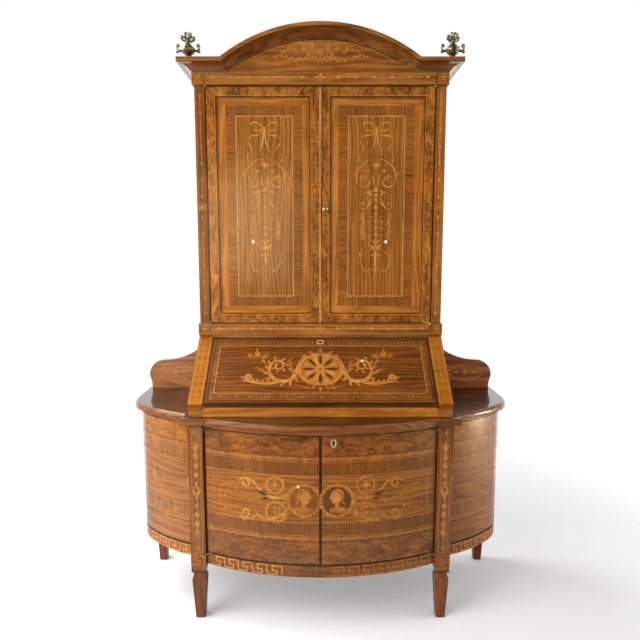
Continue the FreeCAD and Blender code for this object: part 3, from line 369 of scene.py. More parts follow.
# The picked faces of a node take a second veneer
def secondFinish(name, kind, along, picked):
    mesh = nodes[name].data
    mesh.materials.append(veneerMaterial(kind, along))
    mesh.polygons.foreach_set("material_index", picked.astype(np.int32))


secondFinish("base_top", "topEdge", "x", np.abs(faceValues("base_top", "normal")[2]) < 0.9)
for name in ("left_pilaster", "right_pilaster"):
    secondFinish(name, "leg", "z", faceValues(name, "center")[2] < legTop)
for name in ("left_cornice", "right_cornice", "arch_moulding"):
    secondFinish(name, "walnut", "x", faceValues(name, "normal")[1] < -0.95)

# Small rounded edges that catch the light, on nodes whose edges show: widths in mm
eased = {4.0: ["base_top"], 2.0: ["scrolled_wings"],
         1.2: ["left_door_frame", "right_door_frame", "front_rail"],
         1.0: ["left_pilaster", "right_pilaster", "back_legs", "left_slant_stile", "right_slant_stile",
               "stile_blocks", "waist_band", "fall_board"],
         0.8: ["frieze", "left_cornice", "right_cornice", "arch_moulding"]}
for width, names in eased.items():
    for name in names:
        weld = nodes[name].modifiers.new("weld", "WELD")
        weld.merge_threshold = 0.00002
        bevel = nodes[name].modifiers.new("ease", "BEVEL")
        bevel.width = width * mm
        bevel.segments = 3
        bevel.limit_method = "ANGLE"
        bevel.angle_limit = math.radians(28)
print("CAD nodes finished")

# Faces that carry inlay. Each maps across, up and out of the face, in mm, to metres
flatStep = 1e9  # a flat face needs no points between those of the shape
bow = dict(radius=1002.0, centreY=746.5)
sweepStart = 478.0  # where a swept end leaves its pilaster
sweep = dict(centre=(298.8, 392.7), radius=536.3, end=math.pi / 4, endCentre=(572.0, 119.5), endRadius=150.0)
sweep["start"] = math.acos((sweepStart - sweep["centre"][0]) / sweep["radius"])
wideRun = sweep["radius"] * (sweep["start"] - sweep["end"])
tightRun = sweep["endRadius"] * sweep["end"]
sweepLength = wideRun + tightRun
slant = math.radians(41.0)
fallFoot = (-179.6, 830.1)
backY = 279.5


# Places in millimetres, given as three rows, become points in metres
def joined(x, y, z):
    return np.stack([x, y, z], axis=1) * mm


# A flat face that looks forward: across is X, up is Z
def frontFace(faceY):
    return dict(map=lambda u, v, h: joined(u, faceY - h, v), step=flatStep, flip=False)


# A flat face that looks sideways: across runs forward, against Y, up is Z
def endFace(side, faceX):
    return dict(map=lambda u, v, h: joined(side * (faceX + h), -u, v), step=flatStep, flip=side > 0)


# The flat back: across runs against X, up is Z
def backFace():
    return dict(map=lambda u, v, h: joined(-u, backY + h, v), step=flatStep, flip=False)


# The slanted face: across is X, up runs up the slope from its lower edge
def slopeFace():
    return dict(map=lambda u, v, h: joined(u, fallFoot[0] + v * math.cos(slant) - h * math.sin(slant),
                                           fallFoot[1] + v * math.sin(slant) + h * math.cos(slant)),
                step=flatStep, flip=False)


# The bowed front: across is length along the arc from its middle
def bowFace():
    def place(u, v, h):
        turn = u / bow["radius"]
        reach = bow["radius"] + h
        return joined(reach * np.sin(turn), bow["centreY"] - reach * np.cos(turn), v)
    return dict(map=place, step=12.0, flip=False)


# A swept end: across is length along two arcs and a straight, from the pilaster backwards
def sweepFace(side):
    def place(u, v, h):
        onWide = u < wideRun
        wide = sweep["start"] - np.minimum(u, wideRun) / sweep["radius"]
        tight = sweep["end"] - np.clip(u - wideRun, 0, tightRun) / sweep["endRadius"]
        turn = np.where(onWide, wide, tight)
        reach = np.where(onWide, sweep["radius"], sweep["endRadius"]) + h
        x = np.where(onWide, sweep["centre"][0], sweep["endCentre"][0]) + reach * np.cos(turn)
        y = np.where(onWide, sweep["centre"][1], sweep["endCentre"][1]) - reach * np.sin(turn)
        return joined(side * x, y + np.clip(u - sweepLength, 0, None), v)
    return dict(map=place, step=4.0, flip=side < 0)


# Cut shapes are paths with a width along them. A path holds across and up, here evenly spaced on a line
def straight(start, end, points=2):
    share = np.linspace(0, 1, points)[:, None]
    return np.asarray(start, float) * (1 - share) + np.asarray(end, float) * share


# Cubic curve from its first control point to its last, drawn towards the two between
def curve(a, b, c, d, points=22):
    t = np.linspace(0, 1, points)[:, None]
    a, b, c, d = (np.asarray(p, float) for p in (a, b, c, d))
    return a * (1 - t) ** 3 + 3 * b * t * (1 - t) ** 2 + 3 * c * t * t * (1 - t) + d * t ** 3


# Arc or spiral: radius runs evenly from first to last while the angle turns, in degrees
def spiral(centre, first, last, start, end, points=30, squash=1.0):
    t = np.linspace(0, 1, points)
    angle = np.radians(start + (end - start) * t)
    radius = first + (last - first) * t
    return np.stack([centre[0] + radius * np.cos(angle), centre[1] + squash * radius * np.sin(angle)], axis=1)


# Paths joined end to end, each but the last without its end point
def chained(*paths):
    return np.vstack([path[:-1] for path in paths[:-1]] + [paths[-1]])


# A place on a circle, at an angle in degrees
def around(centre, radius, angle):
    turn = math.radians(angle)
    return centre[0] + radius * math.cos(turn), centre[1] + radius * math.sin(turn)


# Place and direction, in degrees, at a share of the way along a path's points
def pointOn(path, share):
    place = share * (len(path) - 1)
    i = min(int(place), len(path) - 2)
    step = path[i + 1] - path[i]
    return path[i] + step * (place - i), math.degrees(math.atan2(step[1], step[0]))


# Widths along a path: even, a leaf that swells, a drop that swells early, or a run from one width to another
def widths(count, form, wide, end=None):
    t = np.linspace(0, 1, count)
    if form == "even":
        return np.full(count, wide)
    if form == "leaf":
        return wide * np.sin(math.pi * np.clip(t, 0.02, 0.98)) ** 0.75
    if form == "drop":
        return wide * np.sin(math.pi * np.clip(t, 0.02, 0.985) ** 0.6) ** 0.8
    return wide + (end - wide) * t


# One shape: tone picks its wood, top is its height, and shapes apart from the others all lie at that height
def cut(path, wide, tone=0.8, form="even", end=None, top=0.2, veneer=0, crossGrain=False, apart=False):
    return dict(path=path, wide=widths(len(path), form, wide, end), tone=tone, top=top, veneer=veneer,
                crossGrain=crossGrain, apart=apart)


# A line between two heights at one place across
def uprightLine(x, low, high, wide, tone, **more):
    return cut(straight((x, low), (x, high)), wide, tone, **more)


# A line between two places across at one height
def levelLine(z, start, end, wide, tone, **more):
    return cut(straight((start, z), (end, z)), wide, tone, **more)


# A closed ring, or an oval where it is squashed
def ringLine(at, radius, points, wide, tone, squash=1.0, top=0.2):
    return cut(spiral(at, radius, radius, 0, 360, points, squash), wide, tone, top=top)


# A leaf starts at a place, sets out at an angle and turns evenly by its bend
def leaf(at, angle, length, wide, tone=0.8, bend=0.0, points=9):
    t = np.linspace(0, 1, points)
    turn = np.radians(angle) + math.radians(bend) * t
    step = length / (points - 1)
    across = at[0] + np.concatenate([[0], np.cumsum(np.cos(turn[:-1]) * step)])
    up = at[1] + np.concatenate([[0], np.cumsum(np.sin(turn[:-1]) * step)])
    return cut(np.stack([across, up], axis=1), wide, tone, "leaf")


# A disc or oval: a level path whose width is the height of the oval there
def disc(at, across, tone=0.8, up=None, points=13, top=0.2):
    t = np.linspace(-0.985, 0.985, points)
    path = np.stack([at[0] + t * across / 2, np.full(points, float(at[1]))], axis=1)
    shape = cut(path, 1.0, tone, top=top)
    shape["wide"] = (up or across) * np.sqrt(1 - t * t)
    return shape


# Even petals turned about a place, the first one up, with a small round in the middle
def flower(at, radius, petals, tone):
    shapes = [leaf(at, 90.0 + 360.0 * k / petals, radius, radius * 2.2 / petals, tone) for k in range(petals)]
    return shapes + [disc(at, radius * 0.5, 0.45, top=0.26)]


# A husk: two side leaves that bend outwards and one between them
def husk(at, angle, size, tone):
    shapes = [leaf(at, angle + turn * 16, size * 0.78, size * 0.2, tone - 0.1, turn * 22) for turn in (1, -1)]
    return shapes + [leaf(at, angle, size, size * 0.24, tone)]


# Four lines round a rectangle, the level ones over the corners
def frameLine(low, high, wide, tone):
    half = wide / 2
    lines = [levelLine(z, low[0] - half, high[0] + half, wide, tone, apart=True) for z in (low[1], high[1])]
    lines += [uprightLine(x, low[1] + half, high[1] - half, wide, tone, apart=True)
              for x in (low[0], high[0])]
    return lines


# Shapes turned over about the middle line where the sign is negative
def turned(shapes, sign):
    return [dict(shape, path=shape["path"] * (sign, 1)) for shape in shapes]


# The shapes and their mirror images
def mirroredCuts(shapes):
    return shapes + turned(shapes, -1)


# Shapes shifted across and up
def moved(shapes, across, up):
    return [dict(shape, path=shape["path"] + (across, up)) for shape in shapes]


finerShare = 0.85


# The same shapes, cut finer and from a darker wood
def finer(shapes, darker):
    return [dict(shape, wide=shape["wide"] * finerShare, tone=shape["tone"] - darker) for shape in shapes]


# Short strokes in a row, standing across the line from start to end, uneven in size and tone
def dashRow(start, end, pitch, long, wide, tone, skip=0.0, top=0.2):
    start, end = np.asarray(start, float), np.asarray(end, float)
    run = np.linalg.norm(end - start)
    way = (end - start) / run
    side = np.array([-way[1], way[0]])
    count = max(2, int(run / pitch))
    dice = np.random.default_rng(int(abs(start[0] * 7 + start[1] * 13 + end[0])) + count)
    shapes = []
    for k in range(count):
        if dice.random() < skip:
            continue
        middle = start + way * run * (k + 0.5) / count
        reach = side * long * (0.7 + 0.5 * dice.random()) / 2
        strokeWide = wide * (0.7 + 0.6 * dice.random())
        strokeTone = tone * (0.85 + 0.25 * dice.random())
        stroke = straight(middle - reach, middle + reach)
        shapes.append(cut(stroke, strokeWide, strokeTone, top=top, apart=True))
    return shapes


# A rope line: slanting slips between two thin lines
def ropeLine(z, start, end, wide, tone):
    run = end - start
    count = max(3, int(abs(run) / (wide * 1.15)))
    lean, half = wide * 0.55, wide * 0.38
    shapes = []
    for k in range(count):
        x = start + run * (k + 0.5) / count
        shapes.append(cut(straight((x - lean, z - half), (x + lean, z + half)), wide * 0.42,
                          tone - (0.14 if k % 2 else 0.0), apart=True))
    for up in (-0.62, 0.62):
        shapes.append(levelLine(z + wide * up, start, end, wide * 0.16, tone - 0.05, apart=True))
    return shapes


# A veneer sheet between two places across and two heights
def sheet(low, high, veneer, upright=False, top=0.1):
    middle = (low[1] + high[1]) / 2
    path = straight((low[0], middle), (high[0], middle))
    return cut(path, high[1] - low[1], 0.5, top=top, veneer=veneer, crossGrain=upright, apart=True)


# Four sheets round an inner field: top, bottom, left and right.
# The grain runs along them, or across them if crossed
def border(low, high, innerLow, innerHigh, veneer, crossed):
    return [sheet((low[0], innerHigh[1]), high, veneer, crossed),
            sheet(low, (high[0], innerLow[1]), veneer, crossed),
            sheet((low[0], innerLow[1]), (innerLow[0], innerHigh[1]), veneer, not crossed),
            sheet((innerHigh[0], innerLow[1]), (high[0], innerHigh[1]), veneer, not crossed)]


# A mesh of points in metres and faces, and the object that shows it
def newPiece(name, points, faces):
    mesh = bpy.data.meshes.new(name)
    mesh.from_pydata(points, [], faces)
    piece = bpy.data.objects.new(name, mesh)
    bpy.context.scene.collection.objects.link(piece)
    return piece, mesh


# Overlapping shapes rise a hair above the one before, so that no two tops share a plane.
# Their undersides are sunk
layLook = dict(rise=0.0022, sunk=-0.5, sharpest=0.35)


# Every shape becomes a low block with four rails along its path, mapped onto the face that carries it
def lay(name, body, face, shapes, materials):
    points, tones, maps, quads, picks = [], [], [], [], []
    base = order = 0
    dice = np.random.default_rng(len(name) * 31 + len(shapes))
    for shape in shapes:
        order += not shape["apart"]
        path, wide = shape["path"], shape["wide"]
        lengths = np.concatenate([[0], np.cumsum(np.linalg.norm(np.diff(path, axis=0), axis=1))])
        if lengths[-1] < 1e-6:
            continue
        # more points where the face is curved
        extra = int(math.ceil(lengths[-1] / face["step"])) + 1
        if extra > len(path):
            fine = np.unique(np.concatenate([lengths, np.linspace(0, lengths[-1], extra)]))
            path = np.stack([np.interp(fine, lengths, path[:, k]) for k in (0, 1)], axis=1)
            wide = np.interp(fine, lengths, wide)
            lengths = fine
        # the rails keep their distance round corners
        way = np.diff(path, axis=0)
        way /= np.maximum(np.linalg.norm(way, axis=1), 1e-9)[:, None]
        before, after = np.vstack([way[:1], way]), np.vstack([way, way[-1:]])
        share = 1 + np.sum(before * after, axis=1)
        mitre = (before + after) / np.maximum(share, layLook["sharpest"])[:, None]
        side = np.stack([-mitre[:, 1], mitre[:, 0]], axis=1) * wide[:, None] / 2
        count = len(path)
        left, right = path + side, path - side
        top = np.full(count, shape["top"] + (0 if shape["apart"] else layLook["rise"] * order))
        low = np.full(count, layLook["sunk"])
        rails = [np.column_stack([left, top]), np.column_stack([right, top]),
                 np.column_stack([right, low]), np.column_stack([left, low])]
        points.append(np.stack(rails, axis=1).reshape(-1, 3))
        # each shape is cut from its own place in the wood
        shift = dice.random(2) * 3
        along = np.repeat(lengths, 4) * mm
        over = np.stack([wide / 2, -wide / 2, -wide / 2, wide / 2], axis=1).ravel() * mm
        pair = (over, along) if shape["crossGrain"] else (along, over)
        maps.append(np.column_stack([pair[0] + shift[0], pair[1] + shift[1]]))
        tones.append(np.full(count * 4, shape["tone"]))
        row = np.arange(count - 1)[:, None] * 4 + np.arange(4)[None, :] + base
        beside = np.arange(count - 1)[:, None] * 4 + (np.arange(4)[None, :] + 1) % 4 + base
        walls = np.stack([row, beside, beside + 4, row + 4], axis=2).reshape(-1, 4)
        ends = np.array([[3, 2, 1, 0], [0, 1, 2, 3]]) + np.array([[base], [base + 4 * (count - 1)]])
        quads.append(np.vstack([walls, ends]))
        picks.append(np.full(len(walls) + 2, shape["veneer"]))
        base += count * 4
    points, quads = np.concatenate(points), np.concatenate(quads)
    if face["flip"]:
        quads = quads[:, ::-1]
    placed = face["map"](points[:, 0], points[:, 1], points[:, 2])
    piece, mesh = newPiece(name, placed.tolist(), quads.tolist())
    mesh.attributes.new("tone", "FLOAT", "POINT").data.foreach_set("value", np.concatenate(tones))
    grain = np.concatenate(maps)[quads.ravel()]
    mesh.uv_layers.new(name="grain").data.foreach_set("uv", grain.ravel())
    for material in materials:
        mesh.materials.append(material)
    mesh.polygons.foreach_set("material_index", np.concatenate(picks).astype(np.int32))
    mesh.update()
    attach(piece, body)


sheetKinds = ("amber", "crossband", "field", "walnut", "border", "burrSoft", "burrAmber", "moulding",
              "fallField", "endWood", "rim")
(amberSheet, bandSheet, fieldSheet, walnutSheet, borderSheet, softSheet, glowSheet, darkSheet, fallSheet,
 endSheet, rimSheet) = range(len(sheetKinds))
mapped = [veneerMaterial(kind, "map") for kind in sheetKinds]


# Sheets laid in the mapped veneers
def layVeneer(name, body, face, zones):
    lay(name, body, face, zones, mapped)


# Shapes laid in the inlay woods
def layInlay(name, body, face, shapes):
    lay(name, body, face, shapes, [inlayWoods])


# Bookcase panels: amber margin, dark banded border, light line and upright field with an arabesque
panelLook = dict(faceY=61.5, rectLow=(-106.0, 1195.0), rectHigh=(106.0, 1869.0), band=38.0, dashes=17.0,
                 knot=1826.0, groove=7.0, darker=0.03)


# Drawn right of the middle line and mirrored, with the middle pieces over both halves
def arabesque():
    # bow: two loops, fluttering ribbons and two tails, about the knot
    ribbons = [cut(curve((2, 0), (30, 34), (62, 22), (44, 2)), 5, 0.84, "leaf"),
               cut(curve((2, -2), (22, -12), (40, -14), (44, 3)), 4, 0.78, "leaf"),
               cut(curve((3, -6), (30, -44), (46, -12), (60, -42)), 5.5, 0.8, "leaf"),
               cut(curve((60, -42), (66, -62), (38, -66), (52, -88)), 5, 0.76, "leaf"),
               cut(curve((52, -88), (66, -92), (70, -112), (58, -122)), 4, 0.74, "leaf"),
               cut(curve((1, -4), (4, -50), (6, -60), (24, -92)), 5.5, 0.86, "drop")]
    half = moved(ribbons, 0, panelLook["knot"])
    # lyre: broad scrolls that curl in to a leaf
    half.append(cut(curve((22, 1712), (62, 1700), (92, 1650), (66, 1618), 30), 5.2, 0.82, "leaf"))
    half.append(cut(curve((68, 1622), (54, 1602), (26, 1606), (20, 1640), 24), 5.5, 0.82, "leaf"))
    half.append(cut(spiral((45, 1640), 17, 4, -60, 330, 34), 3.2, 0.8, "run", 1.6))
    half += [leaf((45, 1640), 60, 16, 7, 0.62, 40), leaf((45, 1640), 140, 13, 6, 0.7, 30)]
    half += [leaf((6, 1606), 78, 58, 5, 0.82, 14), leaf((16, 1612), 70, 40, 4, 0.72, -30)]
    half += [leaf((24, 1712), 200, 16, 5, 0.7, -30), leaf((34, 1690), 20, 12, 4, 0.66)]
    # crossing below the lyre and its outer hooks
    half.append(cut(curve((3, 1594), (24, 1600), (34, 1584), (44, 1588)), 5, 0.78, "leaf"))
    half.append(cut(curve((4, 1572), (34, 1570), (18, 1528), (54, 1526), 24), 5, 0.8, "leaf"))
    half.append(cut(spiral((48, 1545), 17, 5, -80, 170, 22), 3, 0.76, "run", 1.4))
    half += [leaf((48, 1546), 20 + 72 * k, 8, 4, 0.66) for k in range(5)]
    half += [leaf((10, 1556), -28, 26, 6, 0.74, -40), leaf((8, 1540), 200, 12, 5, 0.7)]
    # side drops: small leaves and flowers on a thin stem
    half.append(cut(curve((52, 1524), (46, 1490), (56, 1460), (48, 1408)), 1.4, 0.66))
    for k in range(11):
        spot = (50 + 3 * math.sin(k * 1.3), 1514 - 9.5 * k)
        half += [leaf(spot, 225 + 8 * (k % 2), 14, 5.5, 0.66 + 0.05 * (k % 3), 20),
                 leaf(spot, 315 - 8 * (k % 2), 14, 5.5, 0.62 + 0.05 * (k % 2), -20)]
    half += flower((50, 1474), 8, 5, 0.74) + flower((50, 1440), 9, 6, 0.76)
    # sprays between the ribbon and the lyre, and inside the lyre
    half += [leaf((62, 1700), 60 + 24 * k, 15, 5, 0.66, 20) for k in range(3)]
    half += [leaf((30, 1660), 120 - 30 * k, 18, 6, 0.7, 20) for k in range(3)]
    half += [leaf((78, 1660), 30 - 40 * k, 13, 5, 0.64) for k in range(3)]
    half += [leaf((16, 1590), -20 - 30 * k, 18, 6, 0.68, 30) for k in range(3)]
    half += [leaf((14, 1486 - 26 * k), 320, 18, 6, 0.7, 50) for k in range(4)]
    half += [leaf((13, 1494 - 26 * k), 30, 15, 5, 0.66, -40) for k in range(4)]
    half.append(cut(curve((4, 1500), (22, 1486), (30, 1470), (20, 1456)), 1.6, 0.68))
    half.append(cut(curve((4, 1440), (22, 1430), (28, 1418), (18, 1404)), 1.6, 0.68))
    # calyx, standing leaves and the low swags
    half += [leaf((2, 1372), 58, 34, 8, 0.8, -36), leaf((2, 1372), 24, 24, 7, 0.7, -50),
             leaf((2, 1392), 120, 26, 7, 0.74, 30), leaf((3, 1360), -40, 22, 7, 0.68, 30)]
    half.append(cut(curve((56, 1356), (60, 1290), (26, 1272), (4, 1318), 26), 4.6, 0.8, "leaf"))
    half.append(cut(spiral((47, 1348), 12, 3, -20, 250, 20), 2.6, 0.74, "run", 1.4))
    half += [leaf((50, 1322), 340, 16, 5, 0.66, 40), leaf((40, 1300), 300, 14, 5, 0.64, 30),
             leaf((56, 1350), 60, 18, 6, 0.72, 40), leaf((60, 1336), -60, 18, 4, 0.66, 30),
             leaf((48, 1362), 80, 20, 6, 0.7, -30), leaf((44, 1358), 130, 16, 6, 0.66, 30),
             leaf((22, 1290), 250, 18, 5, 0.66, 40)]
    half += [cut(curve((4, 1262), (18, 1256), (22, 1242), (10, 1232)), 2.0, 0.68, "leaf")]
    whole = mirroredCuts(half)
    # middle: palmette, bulbs, chain of husks and the tail
    whole += [leaf((0, 1684), 90 + a, 20, 6, 0.84 - abs(a) * 0.002) for a in (-64, -32, 0, 32, 64)]
    whole += [disc((0, 1682), 9, 0.7), disc((0, panelLook["knot"]), 12, 0.78), disc((0, 1600), 16, 0.8, 22),
              disc((0, 1580), 20, 0.76, 9), disc((0, 1562), 10, 0.82, 22)]
    whole.append(cut(straight((0, 1560), (0, 1250), 20), 1.8, 0.72))
    for k in range(6):
        whole += husk((0, 1546 - 26 * k), 270, 27 - k, 0.8 - 0.03 * (k % 2))
    whole += [disc((0, 1398), 18, 0.74, 12), disc((0, 1384), 12, 0.82, 20)]
    whole += [leaf((0, 1376), 270, 80, 9, 0.84), leaf((0, 1300), 270, 74, 4.5, 0.76)]
    whole += husk((0, 1310), 270, 30, 0.7)
    return whole


# An amber margin, a crossed border and an upright field, each inside the one before
def panelZones(low, high):
    rectLow, rectHigh, band = panelLook["rectLow"], panelLook["rectHigh"], panelLook["band"]
    outLow, outHigh = (rectLow[0] - band, rectLow[1] - band), (rectHigh[0] + band, rectHigh[1] + band)
    zones = border(low, high, outLow, outHigh, amberSheet, False)
    zones += border(outLow, outHigh, rectLow, rectHigh, borderSheet, True)
    return zones + [sheet(rectLow, rectHigh, fieldSheet, True)]


# Dark strokes and fewer light ones round the banded border
def panelDashes():
    inset = panelLook["dashes"]
    left, foot = (value - inset for value in panelLook["rectLow"])
    right, head = (value + inset for value in panelLook["rectHigh"])
    shapes = []
    for z in (foot, head):
        shapes += dashRow((left, z), (right, z), 9.0, 10, 2.4, 0.3, 0.35)
        shapes += dashRow((left, z), (right, z), 22.0, 7, 2.2, 0.62, 0.5, 0.24)
    for x in (left, right):
        shapes += dashRow((x, foot), (x, head), 9.5, 10, 2.4, 0.3, 0.4)
        shapes += dashRow((x, foot), (x, head), 26.0, 7, 2.2, 0.62, 0.5, 0.24)
    return shapes


for side, middle, pearl in (("left", -211.0, -47.0), ("right", 211.0, 40.0)):
    body, groove = side + "_bookcase_door", panelLook["groove"]
    low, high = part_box(side + "_door_panel")
    panelLow = (low[0] / mm + groove - middle, low[2] / mm + groove)
    panelHigh = (high[0] / mm - groove - middle, high[2] / mm - groove)
    face = frontFace(panelLook["faceY"])
    layVeneer(side + "PanelVeneer", body, face, moved(panelZones(panelLow, panelHigh), middle, 0))
    drawn = finer(arabesque(), panelLook["darker"]) + panelDashes()
    drawn += frameLine(panelLook["rectLow"], panelLook["rectHigh"], 3.0, 0.82)
    drawn.append(disc((pearl, 1404), 13, 1.0, 15, top=0.5))  # pale speck of wear
    layInlay(side + "PanelInlay", body, face, moved(drawn, middle, 0))

# Door frames: a dark line and a light one round the panel. The dark one, hugging the opening, is painted
# shade at the recessed panel's edge
frameLook = dict(faceY=55.5, low=1130.0, high=1935.0, left=(-387.0, -42.0), right=(39.0, 387.0))
for side, sign in bothSides:
    drawn = []
    # first the dark line of painted shade round the recess, then the light line
    for gap, wide, tone in ((2.2, 3.0, 0.06), (6.0, 1.6, 0.74)):
        low = (frameLook[side][0] - gap, frameLook["low"] - gap)
        drawn += frameLine(low, (frameLook[side][1] + gap, frameLook["high"] + gap), wide, tone)
    layInlay(side + "FrameLines", side + "_bookcase_door", frontFace(frameLook["faceY"]), drawn)
print("bookcase panels inlaid")

# Fall: dark bordered board with orange dashes, a light line and a field, with dark lines at its edges that
# paint the shadow of the gap round it.
# A round of petals lies between scrolls in it
fallLook = dict(half=419.0, length=309.0, edge=17.0, lineHalf=385.0, lineLow=48.0, lineHigh=267.0,
                round=(0.0, 156.0), darker=0.06)


# Acanthus scroll: a stem curve with leaves on alternate sides, each set outwards and bent back along it
def acanthus(path, stemWide, leafLong, leafWide, count, tone, firstSide=1):
    shapes = []
    for k, share in enumerate(np.linspace(0.06, 0.95, count)):
        at, way = pointOn(path, share)
        side = firstSide if k % 2 == 0 else -firstSide
        shapes.append(leaf(at, way + side * 42, leafLong * (1.1 - 0.5 * share),
                           leafWide * (1.1 - 0.4 * share),
                           tone - 0.08 - 0.06 * (k % 3), -side * 34))
    return shapes + [cut(path, stemWide, tone, "drop"), cut(path, stemWide * 0.16, tone - 0.36, "drop")]


# Scroll body: a broad band that narrows towards its end, with a dark vein and scallops outside
def scrollBody(path, wide, end, tone, scallops, side):
    shapes = []
    for k, share in enumerate(np.linspace(0.04, 0.9, scallops)):
        at, way = pointOn(path, share)
        size = wide * (1.5 - 0.7 * share * (len(path) - 1) / len(path))
        shapes.append(leaf(around(at, wide * 0.3 * side, way + 90), way + side * 38, size, size * 0.5,
                           tone - 0.1 - 0.05 * (k % 2), side * 20))
    return shapes + [cut(path, wide, tone, "run", end), cut(path, wide * 0.2, tone - 0.34, "run", end * 0.2),
                     disc(path[-1], end * 1.9, tone)]


# Scrolls, leaves and flowers drawn for the right half and mirrored, with the round between them
def fallArabesque():
    stem = chained(curve((56, 214), (92, 178), (84, 100), (134, 101), 26),
                   curve((134, 101), (182, 102), (204, 146), (184, 178), 22),
                   spiral((158, 172), 27, 9, 12, 400, 34))
    tail = chained(curve((146, 102), (196, 80), (236, 96), (262, 100), 24),
                   spiral((262, 118), 18, 6, -90, 250, 30))
    half = scrollBody(stem, 19, 5.5, 0.84, 17, -1) + scrollBody(tail, 14, 4, 0.82, 12, 1)
    half += acanthus(curve((96, 132), (112, 160), (120, 178), (112, 204), 18), 6, 20, 9, 7, 0.74)
    half += acanthus(curve((188, 130), (204, 150), (226, 150), (240, 162), 16), 5, 18, 8, 6, 0.72)
    half += [cut(curve((192, 150), (206, 190), (222, 214), (238, 226)), 3.4, 0.74)]
    half += flower((240, 228), 14, 7, 0.82) + flower((212, 220), 10, 6, 0.74)
    half += flower((266, 216), 10, 6, 0.72)
    half += [leaf((222, 206), 150, 26, 8, 0.7, 30), leaf((228, 214), 10, 30, 8, 0.72, -30),
             leaf((204, 186), 20, 24, 8, 0.68, 30), leaf((240, 234), 70, 20, 7, 0.7, 30),
             leaf((256, 222), 20, 22, 7, 0.7, -30), leaf((206, 212), 120, 18, 7, 0.66, 20)]
    half += [leaf((274, 112), 10, 22, 7, 0.7, 40), leaf((270, 106), -40, 20, 7, 0.66, 30)]
    half += [cut(curve((30, 92), (48, 70), (84, 74), (96, 92)), 4, 0.74, "leaf"),
             leaf((20, 84), -70, 24, 8, 0.72, 40), leaf((36, 76), -30, 24, 7, 0.66, 30)]
    half += [leaf((28, 224), 60, 26, 8, 0.72, -50), leaf((46, 214), 36, 26, 8, 0.68, -40)]
    # round: two rings of petals, with dark lines between the outer ones
    centre = fallLook["round"]
    whole = mirroredCuts(half) + [disc(centre, 176, 0.78, points=49), disc(centre, 150, 0.6, points=45),
                                  ringLine(centre, 82, 73, 3.0, 0.44), ringLine(centre, 71, 73, 1.4, 0.1)]
    for k in range(16):
        turn = 360.0 * k / 16
        whole.append(leaf(around(centre, 22, turn), turn, 46, 17, 0.82 if k % 2 else 0.33))
        whole.append(cut(straight(around(centre, 28, turn), around(centre, 60, turn)), 1.2, 0.2, top=0.26))
    whole.append(disc(centre, 46, 0.5, points=25, top=0.28))
    whole += [dict(leaf(centre, 360.0 * k / 8 + 22.5, 22, 9, 0.82), top=0.34) for k in range(8)]
    whole.append(disc(centre, 13, 0.46, top=0.4))
    return whole + husk((0, 76), 270, 22, 0.78) + husk((0, 234), 90, 22, 0.76)


half, long, edge = fallLook["half"], fallLook["length"], fallLook["edge"]
outLow, outHigh = (-half + edge, edge), (half - edge, long - edge)
lineLow, lineHigh = (-fallLook["lineHalf"], fallLook["lineLow"]), (fallLook["lineHalf"], fallLook["lineHigh"])
fallZones = border((-half, 0), (half, long), outLow, outHigh, fallSheet, False)
fallZones += border(outLow, outHigh, lineLow, lineHigh, bandSheet, True)
fallZones.append(sheet(lineLow, lineHigh, fallSheet))
fallDrawn = frameLine(lineLow, lineHigh, 2.4, 0.76) + frameLine(outLow, outHigh, 1.2, 0.05)
# painted shadow of the gap round the fall: a broad dark line along its foot and a dark frame round its edges
fallDrawn.append(levelLine(4.0, -half + 1, half - 1, 7.0, 0.03))
fallDrawn += frameLine((-half + 2.6, 2.6), (half - 2.6, long - 2.6), 5.0, 0.02)
for v in (280, 33):
    fallDrawn += dashRow((-400, v), (400, v), 15.0, 9, 3.4, 0.5, 0.12)
    fallDrawn += dashRow((-400, v), (400, v), 9.0, 10, 2.6, 0.2, 0.4)
for u in (-393, 393):
    fallDrawn += dashRow((u, 44), (u, 270), 15.0, 8, 3.0, 0.48, 0.15)
    fallDrawn += dashRow((u, 44), (u, 270), 9.0, 9, 2.6, 0.2, 0.4)
fallDrawn += finer(fallArabesque(), fallLook["darker"]) + [disc((158, 194), 12, 1.0, 12, top=0.5)]
layVeneer("fallVeneer", "fall", slopeFace(), fallZones)
layInlay("fallInlay", "fall", slopeFace(), fallDrawn)
print("fall inlaid")

# Bowed doors: soft burr bands, rope lines, dark crossbands with dashes and a scrolled field with a head, with
# dark lines at their upright edges that paint the shade in the gaps.
# Heights run down from the top, and each band between two of them has its veneer, upright or level
bowLook = dict(inner=1.5, outer=432.4, heights=(738, 668, 646, 596, 424, 376, 354, 266),
               bands=((softSheet, False), (softSheet, True), (bandSheet, True), (fieldSheet, False),
                      (bandSheet, True), (softSheet, True), (softSheet, False)))


# A sheet for each band, from one height down to the next
def bandedZones(inner, outer):
    heights = bowLook["heights"]
    steps = zip(heights, heights[1:], bowLook["bands"])
    return [sheet((inner, low), (outer, high), *band) for high, low, band in steps]


# Rope lines, thin lines at the edges of the bands and rows of dashes, all level, and a broad dark line at the
# foot that paints the shadow of the gap above the plinth
def bandedLines(inner, outer):
    shapes = ropeLine(657, inner, outer, 6.5, 0.74) + ropeLine(365, inner, outer, 6.5, 0.74)
    for z, tone in zip(bowLook["heights"][1:-1], (0.06, 0.7, 0.72, 0.72, 0.7, 0.06)):
        shapes.append(levelLine(z, inner, outer, 1.6, tone))
    # painted shadow of the gap between the door's foot and the plinth
    shapes.append(levelLine(268.2, inner, outer, 4.0, 0.02))
    for z in (608, 412):
        shapes += dashRow((inner + 4, z), (outer - 4, z), 9.5, 9, 2.2, 0.5, 0.4)
        shapes += dashRow((inner + 4, z), (outer - 4, z), 9.0, 11, 2.6, 0.2, 0.4)
    return shapes


